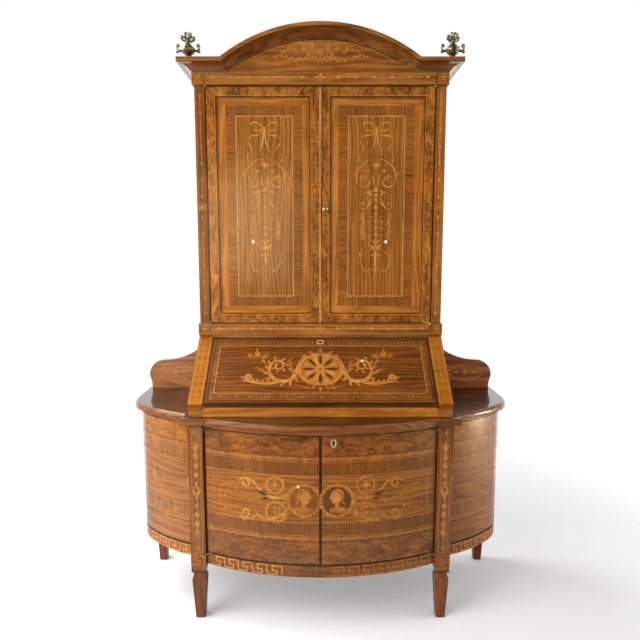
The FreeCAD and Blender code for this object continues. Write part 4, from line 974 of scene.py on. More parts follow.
# A head in profile, drawn from plain ovals, on a dark round within a wreath. The strength spreads its tones
def medallion(at, facing, strength):
    shapes = [disc(at, 122, 0.5, points=41, top=0.17), disc(at, 98, 0.31, points=37, top=0.17)]
    for k in range(24):
        turn = 360.0 * k / 24
        spot = around(at, 53, turn)
        shapes += [leaf(spot, turn + 62, 17, 7, 0.76 if k % 2 else 0.66), leaf(spot, turn + 122, 12, 5, 0.34)]
    head = [disc((-4, -34), 60, 0.58, 22, points=19), disc((-1, -14), 17, 0.64, 30),
            disc((2, 16), 40, 0.68, 48, points=21), disc((7, 2), 26, 0.68, 28, points=15),
            leaf((18, 20), -62, 15, 7, 0.68)]
    hair = [cut(curve((16, 36), (-4, 46), (-26, 34), (-22, 8)), 11, 0.5, "leaf"),
            cut(curve((8, 34), (-10, 36), (-22, 22), (-18, -6)), 8, 0.4, "leaf"),
            leaf((-18, 4), 250, 24, 8, 0.44, -30), disc((-20, 12), 13, 0.46)]
    features = [leaf((10, 17), 8, 7, 1.8, 0.28), leaf((9, 22), 8, 9, 1.6, 0.36),
                leaf((14, 1), 4, 7, 1.6, 0.34)]
    robe = [leaf((-26, -30), 4, 46, 7, 0.5), leaf((-30, -38), 6, 54, 6, 0.42)]
    robe += [leaf((-34 + 9 * k, -40), 70 + 6 * k, 16, 6, 0.6, 30) for k in range(7)]
    shapes += moved(turned(head + hair + features + robe, facing), *at)
    return [dict(shape, tone=0.5 + (shape["tone"] - 0.5) * strength) for shape in shapes]


# Drawn for the right door and mirrored to the left one. The tones fade by an amount that differs between them
def bowScrolls(fade):
    upper = chained(curve((112, 530), (138, 500), (196, 510), (218, 540), 20),
                    curve((218, 540), (236, 572), (276, 590), (292, 562), 16),
                    spiral((270, 556), 23, 7, 14, 380, 32))
    lower = chained(curve((112, 478), (150, 420), (214, 424), (226, 446), 20),
                    curve((226, 446), (240, 424), (284, 414), (294, 440), 14),
                    spiral((272, 448), 22, 7, -20, -380, 32))
    shapes = scrollBody(upper, 9, 5, 0.82 - fade, 12, 1) + scrollBody(lower, 9, 5, 0.8 - fade, 12, -1)
    for at, radius in (((160, 559), 29), ((157, 460), 35)):
        shapes.append(ringLine(at, radius, 49, 6.0, 0.76 - fade))
        shapes += [leaf(around(at, radius, turn), turn + 40, 15, 6, 0.62 - fade, 20)
                   for turn in np.linspace(0, 360, 16, endpoint=False)]
    shapes += [leaf((160, 559), 90 * k, 19, 14, 0.47) for k in range(4)] + [disc((160, 559), 9, 0.8)]
    shapes.append(cut(spiral((157, 460), 20, 5, 60, 420, 34), 4.4, 0.74 - fade, "run", 2))
    shapes += flower((157, 460), 10, 5, 0.68 - fade)
    shapes += [leaf((184, 520), 12, 46, 11, 0.22, 16), leaf((182, 512), -24, 30, 8, 0.24, 24)]
    tone = 0.66 - fade
    shapes += acanthus(curve((296, 520), (324, 556), (358, 550), (372, 526), 20), 5, 20, 7, 8, tone)
    shapes += acanthus(curve((296, 482), (324, 446), (360, 450), (374, 474), 20),
                       5, 20, 7, 8, tone, firstSide=-1)
    shapes += acanthus(curve((204, 500), (240, 494), (280, 512), (330, 500), 24), 4.5, 20, 7, 10, tone)
    shapes += husk((338, 500), 0, 26, 0.68 - fade) + husk((362, 500), 0, 22, tone)
    shapes += [leaf((118, 506), 18, 34, 9, 0.68 - fade, 30), leaf((118, 500), -22, 34, 9, 0.62 - fade, -30)]
    return shapes


for side, sign, fade, strength in (("left", -1, 0.0, 0.8), ("right", 1, 0.1, 1.15)):
    ends = sorted((sign * bowLook["inner"], sign * bowLook["outer"]))
    drawn = bandedLines(*ends) + medallion((sign * 57.0, 506.0), -sign, strength)
    drawn += turned(bowScrolls(fade), sign)
    drawn.append(uprightLine(sign * 396, 426, 594, 2.0, 0.68, apart=True))
    # painted shade in the gaps beside the door: a dark line down each upright edge
    drawn += [uprightLine(x, 267, 737, 3.6, 0.02, top=0.24, apart=True) for x in (sign * 3.2, sign * 430.4)]
    if side == "left":
        drawn.append(disc((-77, 556), 11, 1.0, 12, top=0.5))  # pale speck of wear
    layVeneer(side + "BowVeneer", side + "_base_door", bowFace(), bandedZones(*ends))
    layInlay(side + "BowInlay", side + "_base_door", bowFace(), drawn)
print("bowed doors inlaid")

# Swept end doors: the same bands in lighter woods, running back round the end, with an oval and a flower.
# Behind each is a short fixed panel
sideLook = dict(door=(4.0, sweepLength - 3.0), panel=(sweepLength + 4.0, sweepLength + 156.0),
                veneers=(glowSheet,) + (endSheet,) * 6, flowerAt=0.55, doorUp=508.0, panelUp=505.0)


# The zones of the bowed doors in the lighter veneers
def softZones(low, high):
    return [dict(zone, veneer=veneer) for zone, veneer in zip(bandedZones(low, high), sideLook["veneers"])]


for side, sign in bothSides:
    face = sweepFace(sign)
    start, end = sideLook["door"]
    x, z = start * (1 - sideLook["flowerAt"]) + end * sideLook["flowerAt"], sideLook["doorUp"]
    drawn = bandedLines(start, end)
    drawn += [ringLine((x, z), 58, 65, 2.4, 0.7, 1.3), ringLine((x, z), 50, 65, 1.4, 0.6, 1.3)]
    drawn += flower((x, z), 20, 8, 0.68) + husk((x, z + 26), 90, 26, 0.66) + husk((x, z - 26), 270, 26, 0.66)
    layVeneer(side + "EndVeneer", side + "_end_door", face, softZones(start, end))
    layInlay(side + "EndInlay", side + "_end_door", face, drawn)
    start, end = sideLook["panel"]
    drawn = bandedLines(start, end) + flower(((start + end) / 2, sideLook["panelUp"]), 20, 8, 0.7)
    layVeneer(side + "PanelBackVeneer", "carcass", face, softZones(start, end))
    layInlay(side + "PanelBackInlay", "carcass", face, drawn)
print("ends inlaid")

# Plinth: a running key of light wood round the whole front, worn away from the middle to the right.
# The worn row gives places along the bow and the tones there
keyLook = dict(low=225.5, high=257.5, sheetLow=220.5, sheetHigh=262.5, unit=56.0, wide=4.8, tone=0.8,
               bow=432.0, ends=(4.0, sweepLength + 156.0),
               worn=((-160, -100, 0, 60, 300, 380), (0.8, 0.3, 0.28, 0.44, 0.46, 0.6)))


# One path for each turn of the key, in shares of the unit and of the height
def greekKey(start, end, worn=False):
    count = max(1, round((end - start) / keyLook["unit"]))
    unit = (end - start) / count
    low, span = keyLook["low"], keyLook["high"] - keyLook["low"]
    turns = np.array([(0, 0), (0.66, 0), (0.66, 0.42), (0.36, 0.42), (0.36, 1), (1, 1), (1, 0)])
    shapes = []
    for k in range(count):
        x = start + unit * k
        tone = np.interp(x + unit / 2, *keyLook["worn"]) if worn else keyLook["tone"]
        path = turns * (unit, span) + (x, low)
        shapes.append(cut(path, keyLook["wide"], tone, top=0.2 + 0.02 * (k % 2), apart=True))
    return shapes


# The veneer under a length of the key
def keySheet(start, end, veneer):
    return [sheet((start, keyLook["sheetLow"]), (end, keyLook["sheetHigh"]), veneer)]


reach = keyLook["bow"]
layVeneer("bowKeyVeneer", "carcass", bowFace(), keySheet(-reach, reach, darkSheet))
layInlay("bowKey", "carcass", bowFace(), greekKey(-reach + 20, reach - 20, True))
for side, sign in bothSides:
    low, high = keyLook["ends"]
    layVeneer(side + "KeyVeneer", "carcass", sweepFace(sign), keySheet(low, high, walnutSheet))
    layInlay(side + "Key", "carcass", sweepFace(sign), greekKey(low + 10, high - 10))
print("key band laid")

# Pilasters: a field between light lines, with husks from both ends and a round between.
# A faint length of the key crosses the foot, and a dark band where the block meets the leg paints the shade
# there
pilasterLook = dict(middle=450.5, face=-171.84, half=26.5, line=17.0, foot=188, block=222, low=264, high=742,
                    head=755, keyTones=(0.52, 0.4))


# Husks at an even pitch from both ends, smaller towards the round
def pilasterDrawn(keyTone):
    half, line = pilasterLook["half"], pilasterLook["line"]
    shapes = [uprightLine(x, 268, 738, 1.6, 0.66) for x in (-line, line)]
    shapes += [levelLine(z, -line, line, 1.6, 0.66) for z in (268, 738)]
    for k in range(4):
        size = 40 - 4 * k
        shapes += husk((0, 652 - 33 * k), 90, size, 0.78) + husk((0, 362 + 33 * k), 270, size, 0.78)
    shapes += [cut(straight((0, low), (0, low + 130), 8), 1.2, 0.7) for low in (560, 330)]
    shapes += [disc((0, 506), 24, 0.7, 34, points=15), disc((0, 506), 10, 0.36, 18, top=0.26)]
    shapes += [leaf((0, 524), 90, 20, 8, 0.8), leaf((0, 488), 270, 20, 8, 0.8)]
    shapes.append(ringLine((0, 506), 13, 33, 1.6, 0.82, 1.6, top=0.24))
    shapes += flower((0, 724), 9, 6, 0.74) + flower((0, 284), 9, 6, 0.74)
    # painted shade: a dark band where the block meets the leg
    shapes.append(levelLine(190.8, -half, half, 5.0, 0.03, top=0.3))  # dark neck above the leg
    # the key goes on across the foot of the pilaster
    shapes += [dict(shape, path=shape["path"] * (0.8, 1) + (0, -4), tone=keyTone)
               for shape in greekKey(-28, 28)]
    return shapes


# Block, head, two margins, field and foot
def pilasterZones():
    half, line, low, high = (pilasterLook[key] for key in ("half", "line", "low", "high"))
    return [sheet((-half, pilasterLook["block"]), (half, low), softSheet, True),
            sheet((-half, high), (half, pilasterLook["head"]), rimSheet, True),
            sheet((-half, low), (-line, high), rimSheet, True),
            sheet((line, low), (half, high), rimSheet, True),
            sheet((-line, low), (line, high), rimSheet, True),
            sheet((-half, pilasterLook["foot"]), (half, pilasterLook["block"]), softSheet)]


for (side, sign), keyTone in zip(bothSides, pilasterLook["keyTones"]):
    face, centre = frontFace(pilasterLook["face"]), sign * pilasterLook["middle"]
    layVeneer(side + "PilasterVeneer", "carcass", face, moved(pilasterZones(), centre, 0))
    layInlay(side + "PilasterInlay", "carcass", face, moved(pilasterDrawn(keyTone), centre, 0))
print("pilasters inlaid")


# Chains: diamonds and beads at an even pitch on a line, along the frieze, the waist and the strips
def chain(start, end, pitch, size, tone):
    start, end = np.asarray(start, float), np.asarray(end, float)
    run = end - start
    angle = math.degrees(math.atan2(run[1], run[0]))
    count = max(1, round(np.linalg.norm(run) / pitch))
    shapes = [cut(straight(start, end, 4 * count + 1), 2.0, tone - 0.02)]
    for k in range(count + 1):
        at = start + run * k / count
        for turn, grow in ((0, 1.5), (180, 1.5), (90, 1.0), (270, 1.0)):
            shapes.append(dict(leaf(at, angle + turn, size * grow, size * 0.8, tone, 0, 6), top=0.26))
        if k < count:
            shapes.append(disc(at + run * 0.5 / count, size * 1.1, tone - 0.06, top=0.26))
    return shapes


# Frieze and waist: walnut between crossbanded blocks, edged with dark and light lines
bandLook = dict(block=428.0, gap=0.6, chainFrom=66, chainTo=396, blockMiddle=452)
frontBands = dict(frieze=dict(face=45.5, half=475.0, low=1976.0, high=2024.0, chain=2004.0),
                  waist=dict(face=49.5, half=474.0, low=1042.0, high=1089.0, chain=1069.0))
for name, band in frontBands.items():
    block, near, far, gap = bandLook["block"], bandLook["chainFrom"], bandLook["chainTo"], bandLook["gap"]
    face, z = frontFace(band["face"]), band["chain"]
    low, high, half = band["low"] + gap, band["high"] - gap, band["half"] - gap
    zones = [sheet((-block, low), (block, high), walnutSheet),
             sheet((-half, low), (-block, high), borderSheet, True),
             sheet((block, low), (half, high), borderSheet, True)]
    drawn = chain((-far, z), (-near, z), 66, 6.2, 0.78) + chain((near, z), (far, z), 66, 6.2, 0.78)
    drawn += [leaf((0, z), 90 * k, 13 if k % 2 else 22, 8, 0.74) for k in range(4)]
    drawn.append(disc((0, z), 12, 0.46, top=0.3))
    drawn += [levelLine(z, -near, -26, 1.3, 0.7), levelLine(z, 26, near, 1.3, 0.7)]
    for x in (-bandLook["blockMiddle"], bandLook["blockMiddle"]):
        drawn += [leaf((x, z), 90 * k, 12, 5, 0.68) for k in range(4)] + [disc((x, z), 7, 0.46, top=0.3)]
    drawn += [uprightLine(x, low, high, 2.2, 0.06) for x in (-block, block)]
    for up, tone in ((low + 2.5, 0.06), (low + 5.5, 0.78), (high - 5.5, 0.78), (high - 2.5, 0.06)):
        drawn.append(levelLine(up, -half, half, 1.5, tone, top=0.22))
    layVeneer(name + "Veneer", "carcass", face, zones)
    layInlay(name + "Inlay", "carcass", face, drawn)

# Narrow strips beside the doors: two chains and a round, darker on the left, with a dark line on the door's
# side that paints the shade in the gap
stripLook = dict(middle=447.5, face=55.5, half=20, low=1090.5, high=1975, round=(0, 1535))
for side, sign in bothSides:
    face, centre = frontFace(stripLook["face"]), sign * stripLook["middle"]
    tone, at, half = 0.62 + 0.13 * sign, stripLook["round"], stripLook["half"]
    drawn = chain((0, 1130), (0, 1496), 61, 6.5, tone) + chain((0, 1574), (0, 1940), 61, 6.5, tone)
    drawn += [ringLine(at, 15, 33, 1.8, 0.7), disc(at, 22, 0.4), disc(at, 9, 0.7, top=0.3)]
    drawn += frameLine((-15, 1096), (17 if sign < 0 else 15, 1969), 1.4, 0.6)
    # painted shade in the gap between the strip and its door
    drawn.append(uprightLine(-sign * 18.0, 1091, stripLook["high"], 4.0, 0.02))
    veneer = fallSheet if sign < 0 else walnutSheet
    zones = [sheet((-half, stripLook["low"]), (half, stripLook["high"]), veneer, True)]
    layVeneer(side + "StripVeneer", "carcass", face, moved(zones, centre, 0))
    layInlay(side + "StripInlay", "carcass", face, moved(drawn, centre, 0))
print("bands and strips inlaid")

# Tympanum garland: a low swag of leaves and flowers either side of a round, under two lines along the arch: a
# dark one at the edge, painted shadow under the cove, and a light one inside it
archLook = dict(centre=(0, 1574), face=51.5, round=(0, 2092), darker=0.05,
                lines=((564, 60.4, 3.0, 0.04), (559, 60.8, 2.0, 0.7)))  # reach, first angle, width and tone


# Leaves and flowers drawn for the right half and mirrored, with the round between them
def garland():
    half = acanthus(curve((20, 2104), (56, 2140), (96, 2128), (128, 2096), 26), 4.5, 24, 9, 11, 0.8)
    half += acanthus(curve((24, 2080), (60, 2058), (104, 2066), (140, 2082), 22),
                     4, 20, 8, 9, 0.78, firstSide=-1)
    half += acanthus(curve((128, 2096), (146, 2084), (160, 2078), (178, 2074), 14), 3.4, 16, 6, 6, 0.76)
    half += flower((62, 2108), 12, 6, 0.84) + flower((98, 2104), 9, 5, 0.82) + flower((44, 2084), 9, 5, 0.82)
    half += [leaf((80, 2088), 20, 24, 7, 0.74, 20), leaf((120, 2078), -10, 26, 7, 0.74, 20),
             leaf((30, 2112), 100, 18, 8, 0.78, 30)]
    at = archLook["round"]
    whole = mirroredCuts(half) + [ringLine(at, 27, 49, 3.0, 0.72), ringLine(at, 21, 41, 1.6, 0.6)]
    whole += flower(at, 17, 8, 0.74)
    whole += [leaf(around(at, 27, turn), turn, 15, 7, 0.68)
              for turn in np.linspace(0, 360, 14, endpoint=False)]
    return finer(whole, archLook["darker"])


# the outer, dark line is painted shadow under the cove's edge
archLines = [cut(spiral(archLook["centre"], reach, reach, start, 180 - start, 61), wide, tone)
             for reach, start, wide, tone in archLook["lines"]]
layInlay("tympanumInlay", "carcass", frontFace(archLook["face"]), garland() + archLines)

# Cornice: a dark line along the lower edge of its flat, over the arch and out to both corners, painted shade
# where the flat meets the cove
corniceLook = dict(face=0.5, reach=592.2, start=52.9, level=2046.2, spring=357.4, corner=518.5,
                   wide=2.2, tone=0.05)
reach, start, wide, tone = (corniceLook[key] for key in ("reach", "start", "wide", "tone"))
# painted shade: the dark line on the flat, just above the cove
cornicePaintedShade = [cut(spiral(archLook["centre"], reach, reach, start, 180 - start, 81), wide, tone)]
spring, corner = corniceLook["spring"], corniceLook["corner"]
cornicePaintedShade += [levelLine(corniceLook["level"], sign * spring, sign * corner, wide, tone)
                 for side, sign in bothSides]
layInlay("corniceLines", "carcass", frontFace(corniceLook["face"]), cornicePaintedShade)

# Slanted stiles: light lines at both edges and a chain between them. The front rail has two light lines
stileLook = dict(edges=(420.6, 472.4), inset=6.0, low=3, high=318, wide=1.6, tone=0.78)
railLook = dict(face=-166.5, half=418, heights=(785, 810), wide=1.6, tone=0.78)
for side, sign in bothSides:
    low, high = sorted(sign * edge for edge in stileLook["edges"])
    drawn = [uprightLine(x, stileLook["low"], stileLook["high"], stileLook["wide"], stileLook["tone"])
             for x in (low + stileLook["inset"], high - stileLook["inset"])]
    drawn += moved(chain((0, 40), (0, 280), 60, 6.0, 0.6), (low + high) / 2, 0)
    layInlay(side + "StileInlay", "carcass", slopeFace(), drawn)
railDrawn = [levelLine(z, -railLook["half"], railLook["half"], railLook["wide"], railLook["tone"])
             for z in railLook["heights"]]
layInlay("frontRailInlay", "carcass", frontFace(railLook["face"]), railDrawn)

# Scrolled wings: a stringing oval with a small flower, paler on the right
wingLook = dict(face=259.5, middle=625.0, up=849)
for side, sign in bothSides:
    tone, up = 0.74 + 0.08 * sign, wingLook["up"]
    oval = [ringLine((0, up), 73, 73, 2.2, tone, 0.5), ringLine((0, up), 62, 73, 1.6, tone - 0.06, 0.46)]
    oval += flower((0, up), 13, 8, tone) + [leaf((20, up), 0, 32, 6, tone), leaf((-20, up), 180, 32, 6, tone)]
    oval = moved(oval, sign * wingLook["middle"], 0)
    layInlay(side + "WingInlay", "carcass", frontFace(wingLook["face"]), oval)
print("garland, stiles and wings inlaid")

# Finials: lathed urns with scroll handles and a crown of open curls, over the CAD ones
finialLook = dict(at=(481.0, 33.5), foot=2062.0, sides=40, rings=90, tubeSides=10, tubeWide=1.25)
urnProfile = [(0, 0), (13, 0), (13.5, 2), (11, 4.5), (8, 7), (7.5, 9), (10, 12), (17, 18), (23, 25), (26, 31),
              (25, 36), (20, 42), (14, 48), (9.5, 53), (8, 56), (9.6, 58.5), (10.6, 61), (8, 63.5), (4, 66),
              (0, 66.5)]


# Faces over rings on a grid: quads between rings and a closing face at each end, counted from a first point
def gridFaces(count, sides, first):
    row = np.arange(count - 1)[:, None] * sides + first
    spot = np.arange(sides)[None, :]
    beside = (spot + 1) % sides
    quads = np.stack([row + spot, row + beside, row + sides + beside, row + sides + spot], axis=2)
    quads = quads.reshape(-1, 4).tolist()
    last = first + sides * (count - 1)
    return quads + [list(range(first, first + sides))[::-1], list(range(last, last + sides))]


# Tube along a path that lies in an upright plane turned by an angle about the finial's axis,
# with a thickness that changes evenly from end to end
def tubeRings(path, thick, turn):
    radius = np.linspace(*thick, len(path))[:, None]
    way = np.gradient(path, axis=0)
    way /= np.linalg.norm(way, axis=1)[:, None]
    angle = np.linspace(0, 2 * math.pi, finialLook["tubeSides"], endpoint=False)
    out = path[:, None, 0] - way[:, None, 1] * radius * np.cos(angle)
    up = path[:, None, 1] + way[:, None, 0] * radius * np.cos(angle)
    aside = -radius * np.sin(angle) * finialLook["tubeWide"]
    return np.stack([out * math.cos(turn) - aside * math.sin(turn),
                     out * math.sin(turn) + aside * math.cos(turn), up], axis=2)


# The urn's profile is turned about its axis, with ten shallow lobes round the bowl, and the curls are tubes
def urnFinial(name, sign):
    profile = np.array(urnProfile, float)
    fine = np.linspace(0, len(profile) - 1, finialLook["rings"])
    ring = np.stack([np.interp(fine, np.arange(len(profile)), profile[:, k]) for k in (0, 1)], axis=1)
    radius, height = np.maximum(ring[:, :1], 0.05), ring[:, 1:]
    angle = np.linspace(0, 2 * math.pi, finialLook["sides"], endpoint=False)
    bowl = np.clip((height - 15) / 6, 0, 1) * np.clip((50 - height) / 6, 0, 1)
    reach = radius * (1 + 0.05 * np.cos(angle * 10) * bowl)
    urn = [reach * np.cos(angle), reach * np.sin(angle), np.repeat(height, len(angle), 1)]
    parts = [np.stack(urn, axis=2)]
    arm = chained(curve((22, 31), (32, 25), (42, 32), (41, 43), 16), spiral((36, 46), 5.5, 2, -20, 320, 20))
    spur = chained(curve((33, 28), (36, 22), (42, 22), (43, 27), 8),
                   spiral((40.5, 27), 2.6, 1.2, -10, 240, 10))
    for turn in (0.0, math.pi):
        parts += [tubeRings(arm, (4.4, 2.6), turn), tubeRings(spur, (2.8, 1.7), turn)]
    curl = chained(curve((5, 62), (14, 62), (24, 66), (25, 73), 12), spiral((19.5, 74), 5.5, 1.8, 0, 310, 18))
    tall = chained(curve((4, 64), (10, 71), (18, 76), (17, 83), 12), spiral((13, 84), 4.2, 1.6, 0, 290, 14))
    for turn in np.arange(4) * math.pi / 2:
        parts += [tubeRings(curl, (3.8, 2.1), turn + 0.3), tubeRings(tall, (3.2, 1.8), turn + 1.1)]
    crown = chained(curve((3, 64), (3, 74), (11, 80), (10, 87), 14), spiral((5.5, 88), 4.6, 2.0, 0, 250, 16))
    parts += [tubeRings(crown, (3.8, 2.2), turn) for turn in (0.2, 0.2 + math.pi)]
    starts = np.cumsum([0] + [part.shape[0] * part.shape[1] for part in parts])
    foot = (sign * finialLook["at"][0], finialLook["at"][1], finialLook["foot"])
    points = np.concatenate([part.reshape(-1, 3) for part in parts]) + foot
    faces = sum([gridFaces(*part.shape[:2], int(first)) for part, first in zip(parts, starts)], [])
    piece, mesh = newPiece(name, (points * mm).tolist(), faces)
    mesh.polygons.foreach_set("use_smooth", np.ones(len(faces), bool))
    mesh.materials.append(urnBrass)
    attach(piece, "carcass")
    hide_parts("finials")


rimLook = dict(points=40, sides=10, out=1.4, flat=0.7)


# Bone rim of a keyhole: an oval ring of flattened round section laid on its plate
def keyholeRim(name, body, face, at, half, thick):
    points, sides = rimLook["points"], rimLook["sides"]
    turn = np.linspace(0, 2 * math.pi, points, endpoint=False)[:, None]
    ring = np.linspace(0, 2 * math.pi, sides, endpoint=False)[None, :]
    u = at[0] + (half[0] + thick * np.cos(ring)) * np.cos(turn)
    v = at[1] + (half[1] + thick * np.cos(ring)) * np.sin(turn)
    h = np.broadcast_to(rimLook["out"] + thick * rimLook["flat"] * np.sin(ring), u.shape)
    placed = face["map"](u.ravel(), v.ravel(), h.ravel())
    i, j = np.arange(points)[:, None], np.arange(sides)[None, :]
    ahead, beside = (i + 1) % points, (j + 1) % sides
    quads = np.stack([i * sides + j, ahead * sides + j, ahead * sides + beside, i * sides + beside], axis=2)
    quads = quads.reshape(-1, 4)
    if face["flip"]:
        quads = quads[:, ::-1]
    piece, mesh = newPiece(name, placed.tolist(), quads.tolist())
    mesh.polygons.foreach_set("use_smooth", np.ones(len(quads), bool))
    mesh.materials.append(boneRim)
    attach(piece, body)


endKeyX = 492.0  # how far out the keyholes of the end doors are
endKey = sweep["radius"] * (sweep["start"] - math.acos((endKeyX - sweep["centre"][0]) / sweep["radius"]))
rims = [("bowKeyRim", "right_base_door", bowFace(), (45.0, 714.0), (8.2, 13.2), 2.0),
        ("fallKeyRim", "fall", slopeFace(), (0.0, 285.0), (12.2, 8.7), 1.8),
        ("leftKeyRim", "left_end_door", sweepFace(-1), (endKey, 520.0), (4.2, 10.6), 1.2),
        ("rightKeyRim", "right_end_door", sweepFace(1), (endKey, 520.0), (4.2, 10.6), 1.2)]
for rim in rims:
    keyholeRim(*rim)

urnFinial("leftFinial", -1)
urnFinial("rightFinial", 1)
print("finials made")

# Backs: upright boards with dark joints on the bookcase and the base, and two level boards behind the bureau
backLook = dict(gap=1.6, top=0.6, bookcase=((-447, 1084), (447, 2002), 6, True),
                bureau=((-450, 782), (450, 1060), 2, False), base=((-701, 222), (701, 754), 9, True),
                joint=dict(wide=4.0, tone=0.02, top=0.3, apart=True))


# Equal boards side by side, or one above another where they lie level, with a gap at each edge
def boards(low, high, count, upright):
    gap, axis = backLook["gap"], 0 if upright else 1
    edges = [low[axis] + (high[axis] - low[axis]) * k / count for k in range(count + 1)]
    shapes = []
    for a, b in zip(edges, edges[1:]):
        ends = ((a + gap, low[1]), (b - gap, high[1])) if upright else ((low[0], a + gap), (high[0], b - gap))
        shapes.append(sheet(*ends, 0, upright, top=backLook["top"]))
    return shapes


# A dark line at every edge that two boards share
def boardJoints(low, high, count, upright):
    axis = 0 if upright else 1
    spots = np.linspace(low[axis], high[axis], count + 1)[1:-1]
    if upright:
        return [uprightLine(x, low[1], high[1], **backLook["joint"]) for x in spots]
    return [levelLine(z, low[0], high[0], **backLook["joint"]) for z in spots]


backBoards = sum([boards(*backLook[part]) for part in ("bookcase", "bureau", "base")], [])
lay("backBoards", "carcass", backFace(), backBoards, [veneerMaterial("plain", "map")])
backJoints = sum([boardJoints(*backLook[part]) for part in ("bookcase", "base", "bureau")], [])
layInlay("backJoints", "carcass", backFace(), backJoints)

# Sides of the bookcase: a crossbanded border, a light line and a dark one round plain veneer
caseSideLook = dict(face=468.0, low=(-278.5, 1090.0), high=(-76.5, 1975.0), band=26.0, inset=6.0)
low, high, band, inset = (caseSideLook[key] for key in ("low", "high", "band", "inset"))
innerLow, innerHigh = (low[0] + band, low[1] + band), (high[0] - band, high[1] - band)
top, bottom, left, right = border(low, high, innerLow, innerHigh, bandSheet, True)
zones = [bottom, top, left, right, sheet(innerLow, innerHigh, walnutSheet, True)]
deepLow, deepHigh = (innerLow[0] + inset, innerLow[1] + inset), (innerHigh[0] - inset, innerHigh[1] - inset)
lines = frameLine(innerLow, innerHigh, 2.2, 0.8) + frameLine(deepLow, deepHigh, 1.0, 0.1)
for side, sign in bothSides:
    layVeneer(side + "CaseSideVeneer", "carcass", endFace(sign, caseSideLook["face"]), zones)
    layInlay(side + "CaseSideLines", "carcass", endFace(sign, caseSideLook["face"]), lines)
print("backs and sides finished")

# Camera, soft studio light and a floor that stays white apart from the shadow
cameraLook = dict(lens=31.5, sensor=36.0, place=(-0.0016, -2.1105, 1.3794), tilt=82.7)
camera = bpy.data.objects.new("camera", bpy.data.cameras.new("camera"))
camera.data.lens = cameraLook["lens"]
camera.data.sensor_width = cameraLook["sensor"]
camera.location = cameraLook["place"]
camera.rotation_euler = (math.radians(cameraLook["tilt"]), 0, 0)
bpy.context.scene.collection.objects.link(camera)
bpy.context.scene.camera = camera

# Lights are white and spread fully where nothing else is said
lights = dict(
    key=dict(place=(-2.9, -1.8, 2.1), aim=(0, 0, 0.9), size=2.8, power=168.0),
    sheen=dict(place=(-0.72, -2.7, 1.55), aim=(-0.3, 0, 1.45), size=0.9, power=10.0, colour=(1, 0.84, 0.6)),
    lowSheen=dict(place=(-1.5, -2.3, 0.75), aim=(-0.25, -0.2, 0.5), size=0.8, power=2.4, spread=60.0,
                  colour=(1, 0.9, 0.86)),
    fill=dict(place=(2.9, -1.3, 2.7), aim=(0.2, 0, 1.75), size=1.2, power=5.5, spread=55.0),
    rim=dict(place=(3.0, -0.35, 0.5), aim=(0.7, 0.05, 0.75), size=0.8, power=6.0, spread=60.0),
    overhead=dict(place=(-2.1, 0.8, 3.55), aim=(0, -0.2, 0.3), size=2.0, power=104.0))
for name, light in lights.items():
    data = bpy.data.lights.new(name, "AREA")
    data.size = light["size"]
    data.energy = light["power"]
    data.color = light.get("colour", (1, 1, 1))
    data.spread = math.radians(light.get("spread", 180.0))
    lamp = bpy.data.objects.new(name, data)
    lamp.location = light["place"]
    aim = [b - a for a, b in zip(light["place"], light["aim"])]
    lamp.rotation_euler = (math.atan2(math.hypot(aim[0], aim[1]), -aim[2]), 0, math.atan2(-aim[0], aim[1]))
    bpy.context.scene.collection.objects.link(lamp)

# The world is white to the camera. Mirrored, it is bright at the sides and behind, and other rays see it dim
studioLook = dict(sides=0.7, behind=1.3, least=0.07, dim=0.34)
world = bpy.data.worlds.new("studio")
bpy.context.scene.world = world
world.use_nodes = True
tree = world.node_tree
rays = put(tree, "LightPath").outputs
way = put(tree, "SeparateXYZ", {0: put(tree, "TexCoord").outputs["Generated"]}).outputs
sides = calc(tree, "MULTIPLY", ramp(tree, calc(tree, "ABSOLUTE", way[0]), 0.5, 0.95), studioLook["sides"])
behind = calc(tree, "MULTIPLY", ramp(tree, way[1], 0.1, 0.7), studioLook["behind"])
mirror = calc(tree, "ADD", calc(tree, "MAXIMUM", sides, behind), studioLook["least"])
shine = calc(tree, "MULTIPLY", rays["Is Glossy Ray"], mirror)
dim = calc(tree, "MULTIPLY", calc(tree, "SUBTRACT", 1.0, rays["Is Glossy Ray"]), studioLook["dim"])
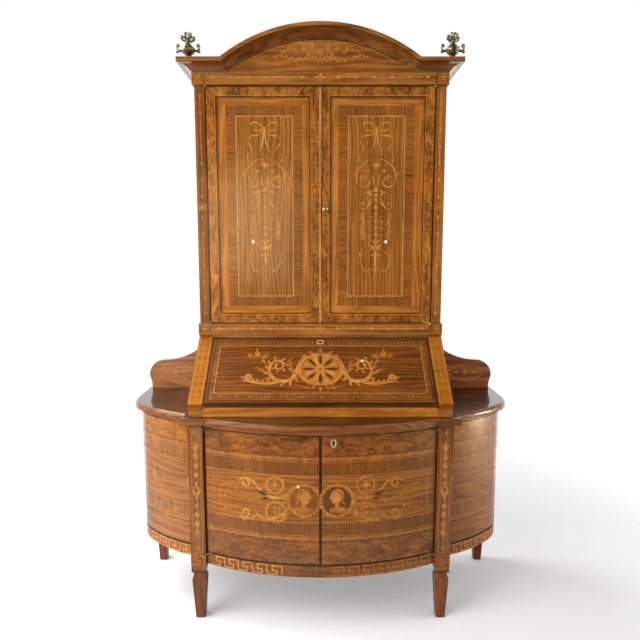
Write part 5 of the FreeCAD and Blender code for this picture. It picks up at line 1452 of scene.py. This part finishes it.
strength = calc(tree, "MAXIMUM", rays["Is Camera Ray"], calc(tree, "ADD", shine, dim))
fill(tree, tree.nodes["Background"], {"Strength": strength, "Color": (1, 1, 1, 1)})

# The camera sees the floor darken near the object, a painted shadow drawn from ambient occlusion, and fade
# out far from it. Other rays see plain greys
floorLook = dict(size=12.0, level=-0.0005, plain=(0.33, 0.33, 0.34, 1), mirrored=(0.5, 0.5, 0.52, 1),
                 reach=0.55, shaded=(0.3, 0.32, 0.36, 1), bare=(0.88, 0.89, 0.905, 1),
                 glow=0.17, fade=(1.1, 2.0))
edge, level = floorLook["size"] / 2, floorLook["level"]
corners = [(-edge, -edge, level), (edge, -edge, level), (edge, edge, level), (-edge, edge, level)]
floor, floorMesh = newPiece("floor", corners, [(0, 1, 2, 3)])
floorMaterial, tree, shader = newMaterial("floorWhite")
rays = put(tree, "LightPath").outputs
others = blendColour(tree, rays["Is Glossy Ray"], floorLook["plain"], floorLook["mirrored"])
# painted shadow: the floor's colour turns to the shaded grey where ambient occlusion finds the object near
near = ramp(tree, put(tree, "AmbientOcclusion", {"Distance": floorLook["reach"]}).outputs["AO"], 0.02, 0.6)
seenWithPaintedShadow = blendColour(tree, near, floorLook["shaded"], floorLook["bare"])
glow = calc(tree, "MULTIPLY", rays["Is Camera Ray"], floorLook["glow"])
fill(tree, shader, {"Base Color": blendColour(tree, rays["Is Camera Ray"], others, seenWithPaintedShadow), "Roughness": 0.9,
                    "Specular IOR Level": 0.0, "Emission Color": (1, 1, 1, 1), "Emission Strength": glow})
place = put(tree, "TexCoord").outputs["Object"]
far = put(tree, "VectorMath", {0: place}, operation="LENGTH").outputs["Value"]
fadeOut = put(tree, "MixShader", {0: ramp(tree, far, *floorLook["fade"]), 1: shader.outputs[0],
                                  2: put(tree, "BsdfTransparent").outputs[0]})
fill(tree, tree.nodes["Material Output"], {"Surface": fadeOut.outputs[0]})
floorMesh.materials.append(floorMaterial)
bpy.context.scene.view_settings.view_transform = "Standard"
print("stage set")
